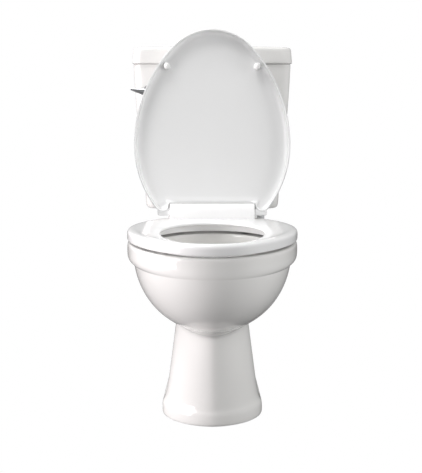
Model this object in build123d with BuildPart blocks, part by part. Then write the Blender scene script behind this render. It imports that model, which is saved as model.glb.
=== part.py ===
from build123d import *
import os
from math import asin, atan2, cos, degrees, radians, sin, sqrt, tan

# Close coupled toilet in millimetres: +X is the viewer's right, the pan faces -Y, +Z is up.
# The origin is on the floor, under the middle of the whole object.

# ---------------------------------------------------------------- driving dimensions
# Seat, measured ahead of the hinge axis
RING_LENGTH = 430.0
RING_WIDTH = 371.0
RING_THICK = 24.5
LID_LENGTH = 428.0
LID_WIDTH = 365.0
LID_WALL = 4.0
LID_SKIRT = 11.5          # the lid's turned edge, below the hinge axis
LID_BACK = 13.5           # the lid's outer face, above the hinge axis
LID_CUT_BACK = 25.0       # the lid's rear edge between its lugs
LID_LEAN = 8.8            # degrees past upright, where the raised lid rests
WIDEST_AHEAD = 158.0
NOSE_RADIUS = 125.0
REAR_RADIUS = 246.0
RING_NOSE = 64.0          # solid nose of the ring, ahead of its hole
HOLE_REAR = 73.0
HOLE_WIDEST = 200.0
HOLE_WIDTH = 223.0
RING_EDGE = 12.0
BUFFER_HEIGHT = 3.5
BUFFER_RADIUS = 8.0
RING_BUFFERS = ((97.0, 345.0), (130.0, 75.0))  # beside the middle, ahead of the hinge
LID_BUFFER_CENTRES = 212.0
LID_BUFFER_AHEAD = 342.0
LID_FACE_ROUND = 8.0

# Hinge
HINGE_RISE = 42.0         # the axis above the rim
HINGE_CENTRES = 155.0
POST_WIDTH = 20.0
POST_DEPTH = 16.0
POST_FOOT_LENGTH = 34.0
POST_FOOT_THICK = 5.0
EYE_RADIUS = 9.0
PIN_DIAMETER = 8.0
KNUCKLE = 7.0             # the hinge bar inside each post
OUTER_KNUCKLE = 10.9      # and outside it
BAR_RADIUS = 20.0         # the hinge bar's reach from the axis
BAR_WALL = 5.0
BARREL_RADIUS = 8.5
BARREL_LENGTH = 28.0
STUD_DIAMETER = 8.0
STUD_HOLE = 16.0

# Pan
RIM_HEIGHT = 400.0
RIM_BAND = 43.0
RIM_OPENING_MARGIN = 8.0  # the rim's opening outside the ring's hole
CHINA = 12.0              # wall of the casting
DECK_THICK = 14.0
DECK_MARGIN = 19.0        # beside the hinge bar
DECK_LAP = 20.0           # under the rim band and the shelf
SHELF_RISE = 24.0         # above the rim
SHELF_MARGIN = 23.0       # outside the coupling bolts
SHELF_CORNER = 18.0
SHELF_FRONT_GAP = 4.0     # shelf front, behind the cistern lid's front
SHELF_REAR_INSET = 20.0
BOWL_STEP = 15.5          # in from the side of the rim band
BOWL_FRONT_STEP = 13.0    # and behind the ring's nose
BOWL_CENTRE = 190.0
BOWL_REAR = 22.0
BOWL_TOP_DROP = 30.0      # centre of the bowl's round, below the rim
BOWL_DEPTH = 165.0
FOOT_WIDTH = 226.0
FOOT_FRONT = 240.0
FOOT_REAR = -130.0
FOOT_CENTRE = 130.0
FOOT_HEIGHT = 29.0
NECK_DROP = 158.0         # below the centre of the bowl's round
NECK_WIDTH = 160.0
PEDESTAL_REAR_WIDTH = 150.0
WEB_WIDTH = 104.0
TRAP_RADIUS = 38.0
SUMP_AHEAD = 108.0
SUMP_DROP = 220.0         # below the centre of the bowl's round
WEIR_DROP = 115.0
DUCT_WIDTH = 56.0         # flush way under the deck
DUCT_HEIGHT = 26.0
OUTLET_HEIGHT = 185.0
SPIGOT_RADIUS = 51.0
SPIGOT_REAR = 205.0       # behind the hinge axis
SPIGOT_COLLAR = 4.0       # thicker at its root
SPIGOT_ROOT = 150.0       # end of the collar, behind the hinge axis
FOOT_SCREW_HOLE = 9.0
FOOT_SCREW_CENTRES = 196.0
FOOT_SCREW_BEHIND = 85.0

# Cistern
CISTERN_HEIGHT = 391.0    # with its lid
CISTERN_GAP = 13.0        # above the shelf
CISTERN_LID_HEIGHT = 42.0
CISTERN_LID_WIDTH = 382.0
CISTERN_LID_DEPTH = 185.0
CISTERN_LID_OVERHANG = 3.0
CISTERN_FRONT_OVERHANG = 5.0
CISTERN_TAPER = 203.0     # height of the part that narrows downwards
CISTERN_MIDDLE_TAPER = 16.0   # narrower than at the seam, at the top of the taper
CISTERN_BOTTOM_TAPER = 50.0   # and at the bottom
CISTERN_BOTTOM_DEPTH = 150.0
CISTERN_CORNER = 24.0
CISTERN_WALL = 9.0
CISTERN_FLOOR = 12.0
LIP_THICK = 6.0
LIP_DROP = 8.0            # of the lid's lip, into the cistern
WALL_SCREW_HOLE = 8.0
WALL_SCREW_CENTRES = 220.0
WALL_SCREW_BELOW = 60.0

# Flush lever
LEVER_INSET = 46.0        # from the side of the cistern
LEVER_DROP = 68.0         # below the seam of the cistern lid
LEVER_LENGTH = 54.0
LEVER_HUB_RADIUS = 23.0
LEVER_HUB_THICK = 12.0
LEVER_SWING = 28.0        # degrees
SPINDLE_DIAMETER = 8.0
BUSH_DIAMETER = 16.0
BUSH_FLANGE_RADIUS = 14.0
BUSH_NUT_RIM = 5.0
BUSH_NUT_THICK = 8.0
BUSH_THREAD = 16.0        # behind the cistern's front wall
SPINDLE_REACH = 54.0      # behind the cistern's front wall
ARM_THICK = 4.0
ARM_HEIGHT = 10.0

# Siphon
SIPHON_X = -70.0          # the lifting chamber, left of the outlet
CHAMBER_RADIUS = 41.0
CHAMBER_HEIGHT = 98.0
SIPHON_WALL = 3.0
DOWNLEG_RADIUS = 23.5
SIPHON_HEIGHT = 176.0     # crown above the cistern floor
SIPHON_FLANGE = 10.5      # beyond the downleg
SIPHON_NUT_RIM = 8.5      # nut corners beyond the downleg
CHAMBER_RISE = 10.0       # above the cistern floor
PLUNGER_RISE = 8.0        # in the chamber
SIPHON_TAIL = 44.0        # thread below the top of the cistern floor
ROD_DIAMETER = 5.0
PLUNGER_THICK = 5.0
PLUNGER_PLAY = 1.0
WIRE = 3.0
EYE_PLAY = 2.0            # in an eye, round a lifting bar

# Filling valve
VALVE_X = 122.0
VALVE_DROP = 74.0         # below the seam of the cistern lid
VALVE_HEAD_WIDTH = 34.0
VALVE_HEAD_DEPTH = 30.0
VALVE_HEAD_CORNER = 6.0
VALVE_HEAD_HEIGHT = 26.0
STANDPIPE_RADIUS = 11.0
STANDPIPE_BORE = 7.0
TAIL_RADIUS = 10.4        # half inch pipe thread
TAIL_LENGTH = 46.0
TAIL_FREE = 24.0          # free end, turned down for the supply's connector
TAIL_FREE_RADIUS = 10.0
FLOAT_RADIUS = 30.0
FLOAT_HEIGHT = 78.0
FLOAT_DROP = 152.0        # float bottom below the valve top
FLOAT_WALL = 2.5
VALVE_PIVOT_RIGHT = 12.0
VALVE_PIVOT_RISE = 14.0   # above the valve top
VALVE_FLANGE = 6.0        # beyond the standpipe
VALVE_NUT_RIM = 5.6       # nut corners beyond the tail
VALVE_PIVOT_PIN = 3.0
VALVE_ARM_REACH = 40.0
VALVE_ARM_SWING = 30.0    # degrees
VALVE_ARM_THICK = 5.0
VALVE_ARM_HEIGHT = 6.0

# Coupling
COUPLING_CENTRES = 150.0
COUPLING_BOLT = 8.0
BOLT_HEAD_RADIUS = 8.0
BOLT_HEAD_THICK = 5.0
DOUGHNUT_WALL = 11.0
DOUGHNUT_RECESS = 13.0
BACKNUT_THICK = 9.0
SEAL_THICK = 3.0
WASHER_THICK = 5.0
WASHER_RADIUS = 14.0
WING_NUT_THICK = 12.0
WING_NUT_RADIUS = 9.0
WING_SPAN = 40.0
THREAD_END = 10.0         # bolt left showing below its wing nut

# Clearances
TOUCH = 0.3               # between soft or curved faces on different bodies
SIDE_PLAY = 0.6           # beside a turning knuckle
PIN_PLAY = 0.1            # on the diameter of a turning pin
HOLE_PLAY = 1.0           # on the radius of a fixing hole
REST_GAP = 5.0            # raised lid to cistern lid, which lifts straight up past it
LIP_PLAY = 3.0

# ---------------------------------------------------------------- derived places
HINGE_HEIGHT = RIM_HEIGHT + HINGE_RISE
SHELF_HEIGHT = RIM_HEIGHT + SHELF_RISE
CISTERN_BOTTOM = SHELF_HEIGHT + CISTERN_GAP
CISTERN_TOP = CISTERN_BOTTOM + CISTERN_HEIGHT
BOWL_TOP = RIM_HEIGHT - BOWL_TOP_DROP
NECK_HEIGHT = BOWL_TOP - NECK_DROP
SUMP_FLOOR = BOWL_TOP - SUMP_DROP
WEIR_HEIGHT = BOWL_TOP - WEIR_DROP
BOWL_HALF = RING_WIDTH / 2 - BOWL_STEP
BOWL_FRONT = RING_LENGTH - BOWL_FRONT_STEP
HOLE_FRONT = RING_LENGTH - RING_NOSE
SLOT_WIDTH = POST_WIDTH + 2 * SIDE_PLAY
BAR_WIDTH = HINGE_CENTRES + SLOT_WIDTH + 2 * OUTER_KNUCKLE
DECK_WIDTH = BAR_WIDTH + 2 * DECK_MARGIN
SHELF_WIDTH = COUPLING_CENTRES + 2 * SHELF_MARGIN
LEAN = radians(LID_LEAN)
RAISED = 90.0 + LID_LEAN
CISTERN_LID_FRONT = (CISTERN_TOP - HINGE_HEIGHT) * tan(LEAN) + LID_BACK / cos(LEAN) + REST_GAP
TOTAL_DEPTH = RING_LENGTH + CISTERN_LID_FRONT + CISTERN_LID_DEPTH
HINGE_Y = RING_LENGTH - TOTAL_DEPTH / 2
REAR_Y = TOTAL_DEPTH / 2
CISTERN_REAR_Y = REAR_Y - CISTERN_LID_OVERHANG
CISTERN_FRONT_Y = HINGE_Y + CISTERN_LID_FRONT + CISTERN_FRONT_OVERHANG
CISTERN_DEPTH = CISTERN_REAR_Y - CISTERN_FRONT_Y
CISTERN_WIDTH = CISTERN_LID_WIDTH - 2 * CISTERN_LID_OVERHANG
CISTERN_SEAM = CISTERN_TOP - CISTERN_LID_HEIGHT
CISTERN_FLOOR_TOP = CISTERN_BOTTOM + CISTERN_FLOOR
LEVER_X = LEVER_INSET - CISTERN_WIDTH / 2
LEVER_HEIGHT = CISTERN_SEAM - LEVER_DROP
LEVER_TIP_X = LEVER_X - LEVER_LENGTH
VALVE_TOP = CISTERN_SEAM - VALVE_DROP
FLOAT_BOTTOM = VALVE_TOP - FLOAT_DROP
SIPHON_CROWN = CISTERN_FLOOR_TOP + SIPHON_HEIGHT
SIPHON_FLANGE_RADIUS = DOWNLEG_RADIUS + SIPHON_FLANGE
SIPHON_NUT_RADIUS = DOWNLEG_RADIUS + SIPHON_NUT_RIM
DOUGHNUT_BORE = SIPHON_NUT_RADIUS + HOLE_PLAY
DOUGHNUT_RADIUS = DOUGHNUT_BORE + DOUGHNUT_WALL
OUTLET_Y = CISTERN_REAR_Y - CISTERN_BOTTOM_DEPTH / 2
OUTLET_AHEAD = HINGE_Y - OUTLET_Y
RING_UNDERSIDE = RIM_HEIGHT + BUFFER_HEIGHT - HINGE_HEIGHT
RING_TOP = RING_UNDERSIDE + RING_THICK
RING_REAR = -sqrt((HINGE_HEIGHT - RIM_HEIGHT - 2.0) ** 2 - RING_UNDERSIDE**2)
BARREL_START = BAR_WIDTH / 2 + SIDE_PLAY
SLOT_AHEAD = POST_DEPTH / 2 + 1.5
SLOT_ROOF = EYE_RADIUS + 3.5
DECK_UNDERSIDE = RIM_HEIGHT - DECK_THICK
SHELF_FRONT = -CISTERN_LID_FRONT - SHELF_FRONT_GAP
SHELF_REAR = HINGE_Y - REAR_Y + SHELF_REAR_INSET
ARM_REACH = SIPHON_X - LEVER_X
ARM_START = LEVER_SWING / 2
ROD_TOP = LEVER_HEIGHT - ARM_REACH * sin(radians(ARM_START))
CHAMBER_BOTTOM = CISTERN_FLOOR_TOP + CHAMBER_RISE
CHAMBER_TOP = CHAMBER_BOTTOM + CHAMBER_HEIGHT
PLUNGER_BOTTOM = CHAMBER_BOTTOM + PLUNGER_RISE
CAVITY_WIDTH = HINGE_CENTRES - SLOT_WIDTH - 2 * KNUCKLE
LEVER_FRONT_Y = CISTERN_FRONT_Y - SEAL_THICK - SIDE_PLAY
SPINDLE_END_Y = CISTERN_FRONT_Y + CISTERN_WALL + SPINDLE_REACH
VALVE_PIVOT_X = VALVE_X + VALVE_PIVOT_RIGHT
VALVE_PIVOT_HEIGHT = VALVE_TOP + VALVE_PIVOT_RISE
FLOAT_LINK_X = VALVE_PIVOT_X - VALVE_ARM_REACH
VALVE_ARM_START = VALVE_ARM_SWING / 2
FLOAT_LINK_TOP = VALVE_PIVOT_HEIGHT - VALVE_ARM_REACH * sin(radians(VALVE_ARM_START))


# ---------------------------------------------------------------- planes and outlines
def level(height):
    """Horizontal plane whose y runs ahead of the seat hinge."""
    return Plane(origin=(0, HINGE_Y, height), x_dir=(-1, 0, 0), z_dir=(0, 0, 1))


def seat_plane(opened, offset=0.0):
    """Plane of a seat part turned up about the hinge axis, offset towards its outer face."""
    turn = radians(opened)
    hinge = Plane(origin=(0, HINGE_Y, HINGE_HEIGHT), x_dir=(-1, 0, 0), z_dir=(0, sin(turn), cos(turn)))
    return hinge.offset(offset)


def side_plane(x):
    """Upright plane across the object at x, whose local x runs back and local y runs up."""
    return Plane(origin=(x, 0, 0), x_dir=(0, 1, 0), z_dir=(1, 0, 0))


def front_plane(y):
    """Upright plane at y that faces the front, whose local x runs right and local y runs up."""
    return Plane(origin=(0, y, 0), x_dir=(1, 0, 0), z_dir=(0, -1, 0))


def oval(length, width, tail, grow=0.0):
    """Seat outline of nose, side and rear arcs, cut square at the tail and grown by an offset."""
    half = width / 2
    reach = length - WIDEST_AHEAD
    side = (half**2 + reach**2 - 2 * reach * NOSE_RADIUS) / (2 * (half - NOSE_RADIUS))
    turn = degrees(atan2(reach - NOSE_RADIUS, side - half))
    dip = degrees(asin((WIDEST_AHEAD - tail) / (REAR_RADIUS + grow)))
    with BuildSketch() as outline:
        with BuildLine():
            CenterArc((0, length - NOSE_RADIUS), NOSE_RADIUS + grow, turn, 180 - 2 * turn)
            CenterArc((half - side, WIDEST_AHEAD), side + grow, 0, turn)
            CenterArc((side - half, WIDEST_AHEAD), side + grow, 180 - turn, turn)
            right = CenterArc((half - REAR_RADIUS, WIDEST_AHEAD), REAR_RADIUS + grow, -dip, dip)
            left = CenterArc((REAR_RADIUS - half, WIDEST_AHEAD), REAR_RADIUS + grow, 180, dip)
            Line(right @ 0, left @ 1)
        make_face()
    return outline.sketch


def egg(front, rear, centre, half):
    """Two half ellipses that meet at the widest line."""
    with BuildSketch() as outline:
        with BuildLine():
            EllipticalCenterArc((0, centre), half, front - centre, start_angle=0, arc_size=180)
            EllipticalCenterArc((0, centre), half, centre - rear, start_angle=180, arc_size=180)
        make_face()
    return outline.sketch


def prow(front, centre, half, rear, rear_half):
    """Half ellipse in front, with straight sides to a square rear."""
    with BuildSketch() as outline:
        with BuildLine():
            EllipticalCenterArc((0, centre), half, front - centre, start_angle=0, arc_size=180)
            Polyline((-half, centre), (-rear_half, rear), (rear_half, rear), (half, centre))
        make_face()
    return outline.sketch


def bowl_share(height, depth):
    """Share of the full bowl width that is left at a height."""
    return sqrt(1 - ((BOWL_TOP - height) / depth) ** 2)


def tilted_plane(x, height, drop):
    """Plane through a pivot, with local x falling by an angle to the right and local y to the back."""
    fall = radians(drop)
    return Plane(origin=(x, 0, height), x_dir=(cos(fall), 0, -sin(fall)), z_dir=(sin(fall), 0, cos(fall)))


os.makedirs("parts", exist_ok=True)

# ---------------------------------------------------------------- pan
RIM_BOTTOM = RIM_HEIGHT - RIM_BAND
OPENING_FRONT = HOLE_FRONT + RIM_OPENING_MARGIN
OPENING_REAR = HOLE_REAR - RIM_OPENING_MARGIN
OPENING_HALF = HOLE_WIDTH / 2 + RIM_OPENING_MARGIN
BAND_REAR = BOWL_REAR - CHINA
NECK_START = 148.0        # below the centre of the bowl's round
NECK_END = 182.0

with BuildPart() as pan:
    # Bowl, from under the rim down to the neck
    for height in (RIM_BOTTOM + 6, *(BOWL_TOP - drop for drop in (40, 70, 100, 128, NECK_START))):
        share = bowl_share(height, BOWL_DEPTH)
        rear = BOWL_REAR + (RIM_BOTTOM - height) * 0.25
        with BuildSketch(level(height)):
            add(egg(BOWL_CENTRE + (BOWL_FRONT - BOWL_CENTRE) * share, rear, BOWL_CENTRE, BOWL_HALF * share))
    loft()
    # Neck between the bowl and the pedestal
    share = bowl_share(BOWL_TOP - NECK_START, BOWL_DEPTH)
    with BuildSketch(level(BOWL_TOP - NECK_START)):
        add(prow(BOWL_CENTRE + (BOWL_FRONT - BOWL_CENTRE) * share - 8, FOOT_CENTRE, NECK_WIDTH / 2, 20, 55))
    with BuildSketch(level(BOWL_TOP - NECK_END)):
        add(prow(FOOT_FRONT - 6, FOOT_CENTRE, NECK_WIDTH / 2 + 3, 20, 60))
    loft(ruled=True)
    # Pedestal
    for height, grow in ((FOOT_HEIGHT - 4, 29), (60, 21), (125, 12), (NECK_HEIGHT, 0)):
        with BuildSketch(level(height)):
            half = NECK_WIDTH / 2 + grow
            add(prow(FOOT_FRONT - 11 + grow * 0.3, FOOT_CENTRE, half, FOOT_REAR, PEDESTAL_REAR_WIDTH / 2))
    loft()
    # Foot
    with BuildSketch(level(0)):
        add(prow(FOOT_FRONT, FOOT_CENTRE, FOOT_WIDTH / 2, FOOT_REAR, FOOT_WIDTH / 2))
    extrude(amount=FOOT_HEIGHT)
    # Web that holds the trap and carries the shelf
    for height, half, front, rear in (
        (200, PEDESTAL_REAR_WIDTH / 2, 120, FOOT_REAR),
        (300, WEB_WIDTH / 2, 70, FOOT_REAR - 30),
        (DECK_UNDERSIDE + 4, WEB_WIDTH / 2, 70, SHELF_REAR + 12),
    ):
        with BuildSketch(level(height)):
            add(prow(front, front - 30, half, rear, half))
    loft(ruled=True)
    # Rim band and deck
    with BuildSketch(level(RIM_BOTTOM)):
        add(egg(RING_LENGTH - 4, BAND_REAR, WIDEST_AHEAD, RING_WIDTH / 2))
    extrude(amount=RIM_BAND)
    with BuildSketch(level(DECK_UNDERSIDE)):
        add(oval(RING_LENGTH - 8, RING_WIDTH - 10, RING_REAR))
        with Locations((0, (BAND_REAR + SHELF_FRONT) / 2 + DECK_LAP)):
            Rectangle(DECK_WIDTH, BAND_REAR - SHELF_FRONT + 2 * DECK_LAP)
    extrude(amount=DECK_THICK)
    # Shelf under the cistern
    with BuildSketch(level(DECK_UNDERSIDE)):
        with Locations((0, (SHELF_FRONT + SHELF_REAR) / 2)):
            RectangleRounded(SHELF_WIDTH, SHELF_FRONT - SHELF_REAR, SHELF_CORNER)
    extrude(amount=SHELF_HEIGHT - DECK_UNDERSIDE)
    # Outlet spigot
    with BuildSketch(front_plane(HINGE_Y + SPIGOT_REAR)):
        with Locations((0, OUTLET_HEIGHT)):
            Circle(SPIGOT_RADIUS)
    extrude(amount=SPIGOT_REAR + FOOT_REAR + 60)
    with BuildSketch(front_plane(HINGE_Y + SPIGOT_ROOT)):
        with Locations((0, OUTLET_HEIGHT)):
            Circle(SPIGOT_RADIUS + SPIGOT_COLLAR)
    extrude(amount=SPIGOT_ROOT + FOOT_REAR + 60)
    # Bowl hollow
    inner_half = BOWL_HALF - CHINA
    inner_reach = BOWL_FRONT - BOWL_CENTRE - CHINA
    for height in (RIM_BOTTOM + 4, *(BOWL_TOP - drop for drop in (40, 70, 100, 125))):
        share = bowl_share(height, BOWL_DEPTH - CHINA)
        rear = BOWL_REAR + CHINA + (RIM_BOTTOM - height) * 0.25
        with BuildSketch(level(height)):
            add(egg(BOWL_CENTRE + inner_reach * share, rear, BOWL_CENTRE, inner_half * share))
    loft(mode=Mode.SUBTRACT)
    # Sump under the bowl
    for drop, front, half in ((122, 262, 72), (155, 196, 52), (SUMP_DROP, 150, TRAP_RADIUS)):
        with BuildSketch(level(BOWL_TOP - drop)):
            add(egg(front, SUMP_AHEAD - 42, SUMP_AHEAD + 8, half))
    loft(mode=Mode.SUBTRACT)
    # Rim opening
    with BuildSketch(level(RIM_BOTTOM - 2)):
        add(egg(OPENING_FRONT, OPENING_REAR, HOLE_WIDEST, OPENING_HALF))
    extrude(amount=RIM_BAND + 10, mode=Mode.SUBTRACT)
    # Flush channel inside the rim
    with BuildSketch(level(RIM_BOTTOM + 2)):
        add(egg(BOWL_FRONT - CHINA, BOWL_REAR + CHINA, BOWL_CENTRE, BOWL_HALF - CHINA))
        add(
            egg(OPENING_FRONT + 9, OPENING_REAR - 9, HOLE_WIDEST, OPENING_HALF + 9),
            mode=Mode.SUBTRACT,
        )
    extrude(amount=RIM_BAND - 2 - CHINA, mode=Mode.SUBTRACT)
    # Flush way from the cistern outlet to the channel
    with BuildSketch(level(SHELF_HEIGHT)):
        with Locations((0, OUTLET_AHEAD)):
            Circle(DOUGHNUT_RADIUS + 2)
    extrude(amount=-DOUGHNUT_RECESS, mode=Mode.SUBTRACT)
    with BuildSketch(level(SHELF_HEIGHT)):
        with Locations((0, OUTLET_AHEAD)):
            Circle(DOUGHNUT_BORE)
    extrude(amount=-(SHELF_HEIGHT - DECK_UNDERSIDE + DUCT_HEIGHT), mode=Mode.SUBTRACT)
    duct_front = OPENING_REAR - CHINA - 10
    with BuildSketch(level(DECK_UNDERSIDE - DUCT_HEIGHT)):
        with Locations((0, (OUTLET_AHEAD + duct_front) / 2)):
            Rectangle(DUCT_WIDTH, duct_front - OUTLET_AHEAD)
    extrude(amount=DUCT_HEIGHT, mode=Mode.SUBTRACT)
    # Trap way over the weir to the outlet
    with BuildLine(Plane(origin=(0, HINGE_Y, 0), x_dir=(0, -1, 0), z_dir=(-1, 0, 0))) as trap:
        FilletPolyline(
            (SUMP_AHEAD + 14, SUMP_FLOOR + 34),
            (SUMP_AHEAD - 48, SUMP_FLOOR + 14),
            (2, WEIR_HEIGHT),
            (-72, OUTLET_HEIGHT),
            (-SPIGOT_REAR - 5, OUTLET_HEIGHT),
            radius=(42, 44, 44),
        )
    with BuildSketch(Plane(origin=trap.line @ 0, z_dir=trap.line % 0)):
        Circle(TRAP_RADIUS)
    sweep(path=trap.line, mode=Mode.SUBTRACT)
    # Hollow foot
    for height, inset in ((0, 0), (60, 10), (110, 17)):
        with BuildSketch(level(height)):
            half = FOOT_WIDTH / 2 - CHINA - inset
            rear_half = PEDESTAL_REAR_WIDTH / 2 - CHINA
            add(prow(FOOT_FRONT - CHINA - inset * 0.6, FOOT_CENTRE, half, FOOT_REAR + CHINA, rear_half))
    loft(ruled=True, mode=Mode.SUBTRACT)
    # Fixing holes
    with BuildSketch(level(0)):
        with Locations((0, -FOOT_SCREW_BEHIND)):
            with GridLocations(FOOT_SCREW_CENTRES, 1, 2, 1):
                Circle(FOOT_SCREW_HOLE / 2)
    extrude(amount=FOOT_HEIGHT + 2, mode=Mode.SUBTRACT)
    with BuildSketch(level(DECK_UNDERSIDE - 1)):
        with GridLocations(HINGE_CENTRES, 1, 2, 1):
            Circle(STUD_HOLE / 2)
    extrude(amount=DECK_THICK + 2, mode=Mode.SUBTRACT)
    with BuildSketch(level(DECK_UNDERSIDE - 1)):
        with Locations((0, OUTLET_AHEAD)):
            with GridLocations(COUPLING_CENTRES, 1, 2, 1):
                Circle(COUPLING_BOLT / 2 + 2 * HOLE_PLAY)
    extrude(amount=SHELF_HEIGHT - DECK_UNDERSIDE + 2, mode=Mode.SUBTRACT)
pan.part.label = "pan"
export_step(pan.part, "parts/pan.step")

# ---------------------------------------------------------------- seat ring
with BuildPart() as seat_ring:
    with BuildSketch(seat_plane(0, RING_UNDERSIDE)):
        add(oval(RING_LENGTH, RING_WIDTH, RING_REAR))
        add(egg(HOLE_FRONT, HOLE_REAR, HOLE_WIDEST, HOLE_WIDTH / 2), mode=Mode.SUBTRACT)
    extrude(amount=RING_THICK)
    top = seat_ring.faces().sort_by(Axis.Z)[-1]
    fillet(top.outer_wire().edges(), RING_EDGE)
    top = seat_ring.faces().sort_by(Axis.Z)[-1]
    fillet(top.inner_wires()[0].edges(), RING_EDGE * 0.6)
    # Hinge bar
    with BuildSketch(side_plane(-BAR_WIDTH / 2)):
        with Locations((HINGE_Y, HINGE_HEIGHT)):
            Circle(BAR_RADIUS)
            with Locations((-(BAR_RADIUS - 2) / 2, (RING_UNDERSIDE + 8) / 2)):
                Rectangle(BAR_RADIUS - 2, 8 - RING_UNDERSIDE - 4)
    extrude(amount=BAR_WIDTH)
    # Hollow between the knuckles, open below
    with BuildSketch(side_plane(-CAVITY_WIDTH / 2)):
        with Locations((HINGE_Y, HINGE_HEIGHT)):
            Circle(BAR_RADIUS - BAR_WALL)
            with Locations((0, RING_UNDERSIDE / 2)):
                Rectangle(BAR_RADIUS, -RING_UNDERSIDE + 2)
    extrude(amount=CAVITY_WIDTH, mode=Mode.SUBTRACT)
    # Slots for the posts, open behind and below
    for side in (-1, 1):
        with BuildSketch(side_plane(side * HINGE_CENTRES / 2 - SLOT_WIDTH / 2)):
            with Locations((HINGE_Y - SLOT_AHEAD, HINGE_HEIGHT + SLOT_ROOF)):
                Rectangle(60, 60, align=(Align.MIN, Align.MAX))
        extrude(amount=SLOT_WIDTH, mode=Mode.SUBTRACT)
    # Pin bore
    with BuildSketch(side_plane(-BAR_WIDTH / 2 - 1)):
        with Locations((HINGE_Y, HINGE_HEIGHT)):
            Circle((PIN_DIAMETER + PIN_PLAY) / 2)
    extrude(amount=BAR_WIDTH + 2, mode=Mode.SUBTRACT)
seat_ring.part.label = "seat_ring"
export_step(seat_ring.part, "parts/seat_ring.step")

with BuildPart() as ring_buffers:
    with BuildSketch(seat_plane(0, RING_UNDERSIDE)):
        with Locations(*[(side * x, ahead) for x, ahead in RING_BUFFERS for side in (-1, 1)]):
            Circle(BUFFER_RADIUS)
    extrude(amount=-(BUFFER_HEIGHT - TOUCH))
ring_buffers.part.label = "ring_buffers"
export_step(ring_buffers.part, "parts/ring_buffers.step")

# ---------------------------------------------------------------- seat lid, made in its raised place
LID_INNER_FACE = LID_BACK - LID_WALL
with BuildPart() as seat_lid:
    with BuildSketch(seat_plane(RAISED, -LID_SKIRT)):
        add(oval(LID_LENGTH, LID_WIDTH, LID_CUT_BACK - 15))
        Rectangle(2 * BARREL_START, 2 * LID_CUT_BACK, mode=Mode.SUBTRACT)
    extrude(amount=LID_SKIRT + LID_BACK)
    back = seat_lid.faces().sort_by(SortBy.AREA)[-2:].sort_by(Axis.Y)[-1]
    fillet(back.outer_wire().edges().sort_by(SortBy.LENGTH)[-5:], LID_FACE_ROUND)
    # Dished inner face
    with BuildSketch(seat_plane(RAISED, -LID_SKIRT)):
        add(oval(LID_LENGTH, LID_WIDTH, LID_CUT_BACK + 2 * LID_WALL, grow=-LID_WALL))
    extrude(amount=LID_SKIRT + LID_INNER_FACE, mode=Mode.SUBTRACT)
    # Barrels and the webs that carry them
    for side in (-1, 1):
        start = side * BARREL_START if side > 0 else -BARREL_START - BARREL_LENGTH
        with BuildSketch(side_plane(start)):
            with Locations((HINGE_Y, HINGE_HEIGHT)):
                Circle(BARREL_RADIUS)
        extrude(amount=BARREL_LENGTH)
        with BuildSketch(seat_plane(RAISED, -BARREL_RADIUS + 2)):
            with Locations((side * (BARREL_START + BARREL_LENGTH * 0.45), 0)):
                Rectangle(BARREL_LENGTH * 0.9, LID_CUT_BACK, align=(Align.CENTER, Align.MIN))
        extrude(amount=2 * BARREL_RADIUS - 2)
    with BuildSketch(side_plane(-BARREL_START - BARREL_LENGTH + 2)):
        with Locations((HINGE_Y, HINGE_HEIGHT)):
            Circle((PIN_DIAMETER + PIN_PLAY) / 2)
    extrude(amount=2 * (BARREL_START + BARREL_LENGTH - 2), mode=Mode.SUBTRACT)
seat_lid.part.label = "seat_lid"
export_step(seat_lid.part, "parts/seat_lid.step")

with BuildPart() as lid_buffers:
    with BuildSketch(seat_plane(RAISED, RING_TOP + TOUCH)):
        with GridLocations(LID_BUFFER_CENTRES, 1, 2, 1):
            with Locations((0, LID_BUFFER_AHEAD)):
                Circle(BUFFER_RADIUS)
    extrude(amount=LID_INNER_FACE - RING_TOP - TOUCH)
    fillet(lid_buffers.edges().group_by(Axis.Y)[0], 3)
lid_buffers.part.label = "lid_buffers"
export_step(lid_buffers.part, "parts/lid_buffers.step")

# ---------------------------------------------------------------- hinge
with BuildPart() as hinge_posts:
    for side in (-1, 1):
        with BuildSketch(side_plane(side * HINGE_CENTRES / 2 - POST_WIDTH / 2)):
            with Locations((HINGE_Y, HINGE_HEIGHT)):
                Circle(EYE_RADIUS)
            with Locations((HINGE_Y, RIM_HEIGHT)):
                Rectangle(POST_DEPTH, HINGE_HEIGHT - RIM_HEIGHT, align=(Align.CENTER, Align.MIN))
            with Locations((HINGE_Y - POST_DEPTH / 2, RIM_HEIGHT)):
                Rectangle(POST_FOOT_LENGTH, POST_FOOT_THICK, align=(Align.MIN, Align.MIN))
            with Locations((HINGE_Y, HINGE_HEIGHT)):
                Circle(PIN_DIAMETER / 2, mode=Mode.SUBTRACT)
        extrude(amount=POST_WIDTH)
    with BuildSketch(level(RIM_HEIGHT)):
        with GridLocations(HINGE_CENTRES, 1, 2, 1):
            Circle(STUD_DIAMETER / 2)
    extrude(amount=POST_DEPTH, mode=Mode.SUBTRACT)
hinge_posts.part.label = "hinge_posts"
export_step(hinge_posts.part, "parts/hinge_posts.step")

PIN_START = CAVITY_WIDTH / 2 + 0.5
PIN_END = BARREL_START + BARREL_LENGTH - 3
with BuildPart() as hinge_pins:
    for start in (-PIN_END, PIN_START):
        with BuildSketch(side_plane(start)):
            with Locations((HINGE_Y, HINGE_HEIGHT)):
                Circle(PIN_DIAMETER / 2)
        extrude(amount=PIN_END - PIN_START)
hinge_pins.part.label = "hinge_pins"
export_step(hinge_pins.part, "parts/hinge_pins.step")

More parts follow.
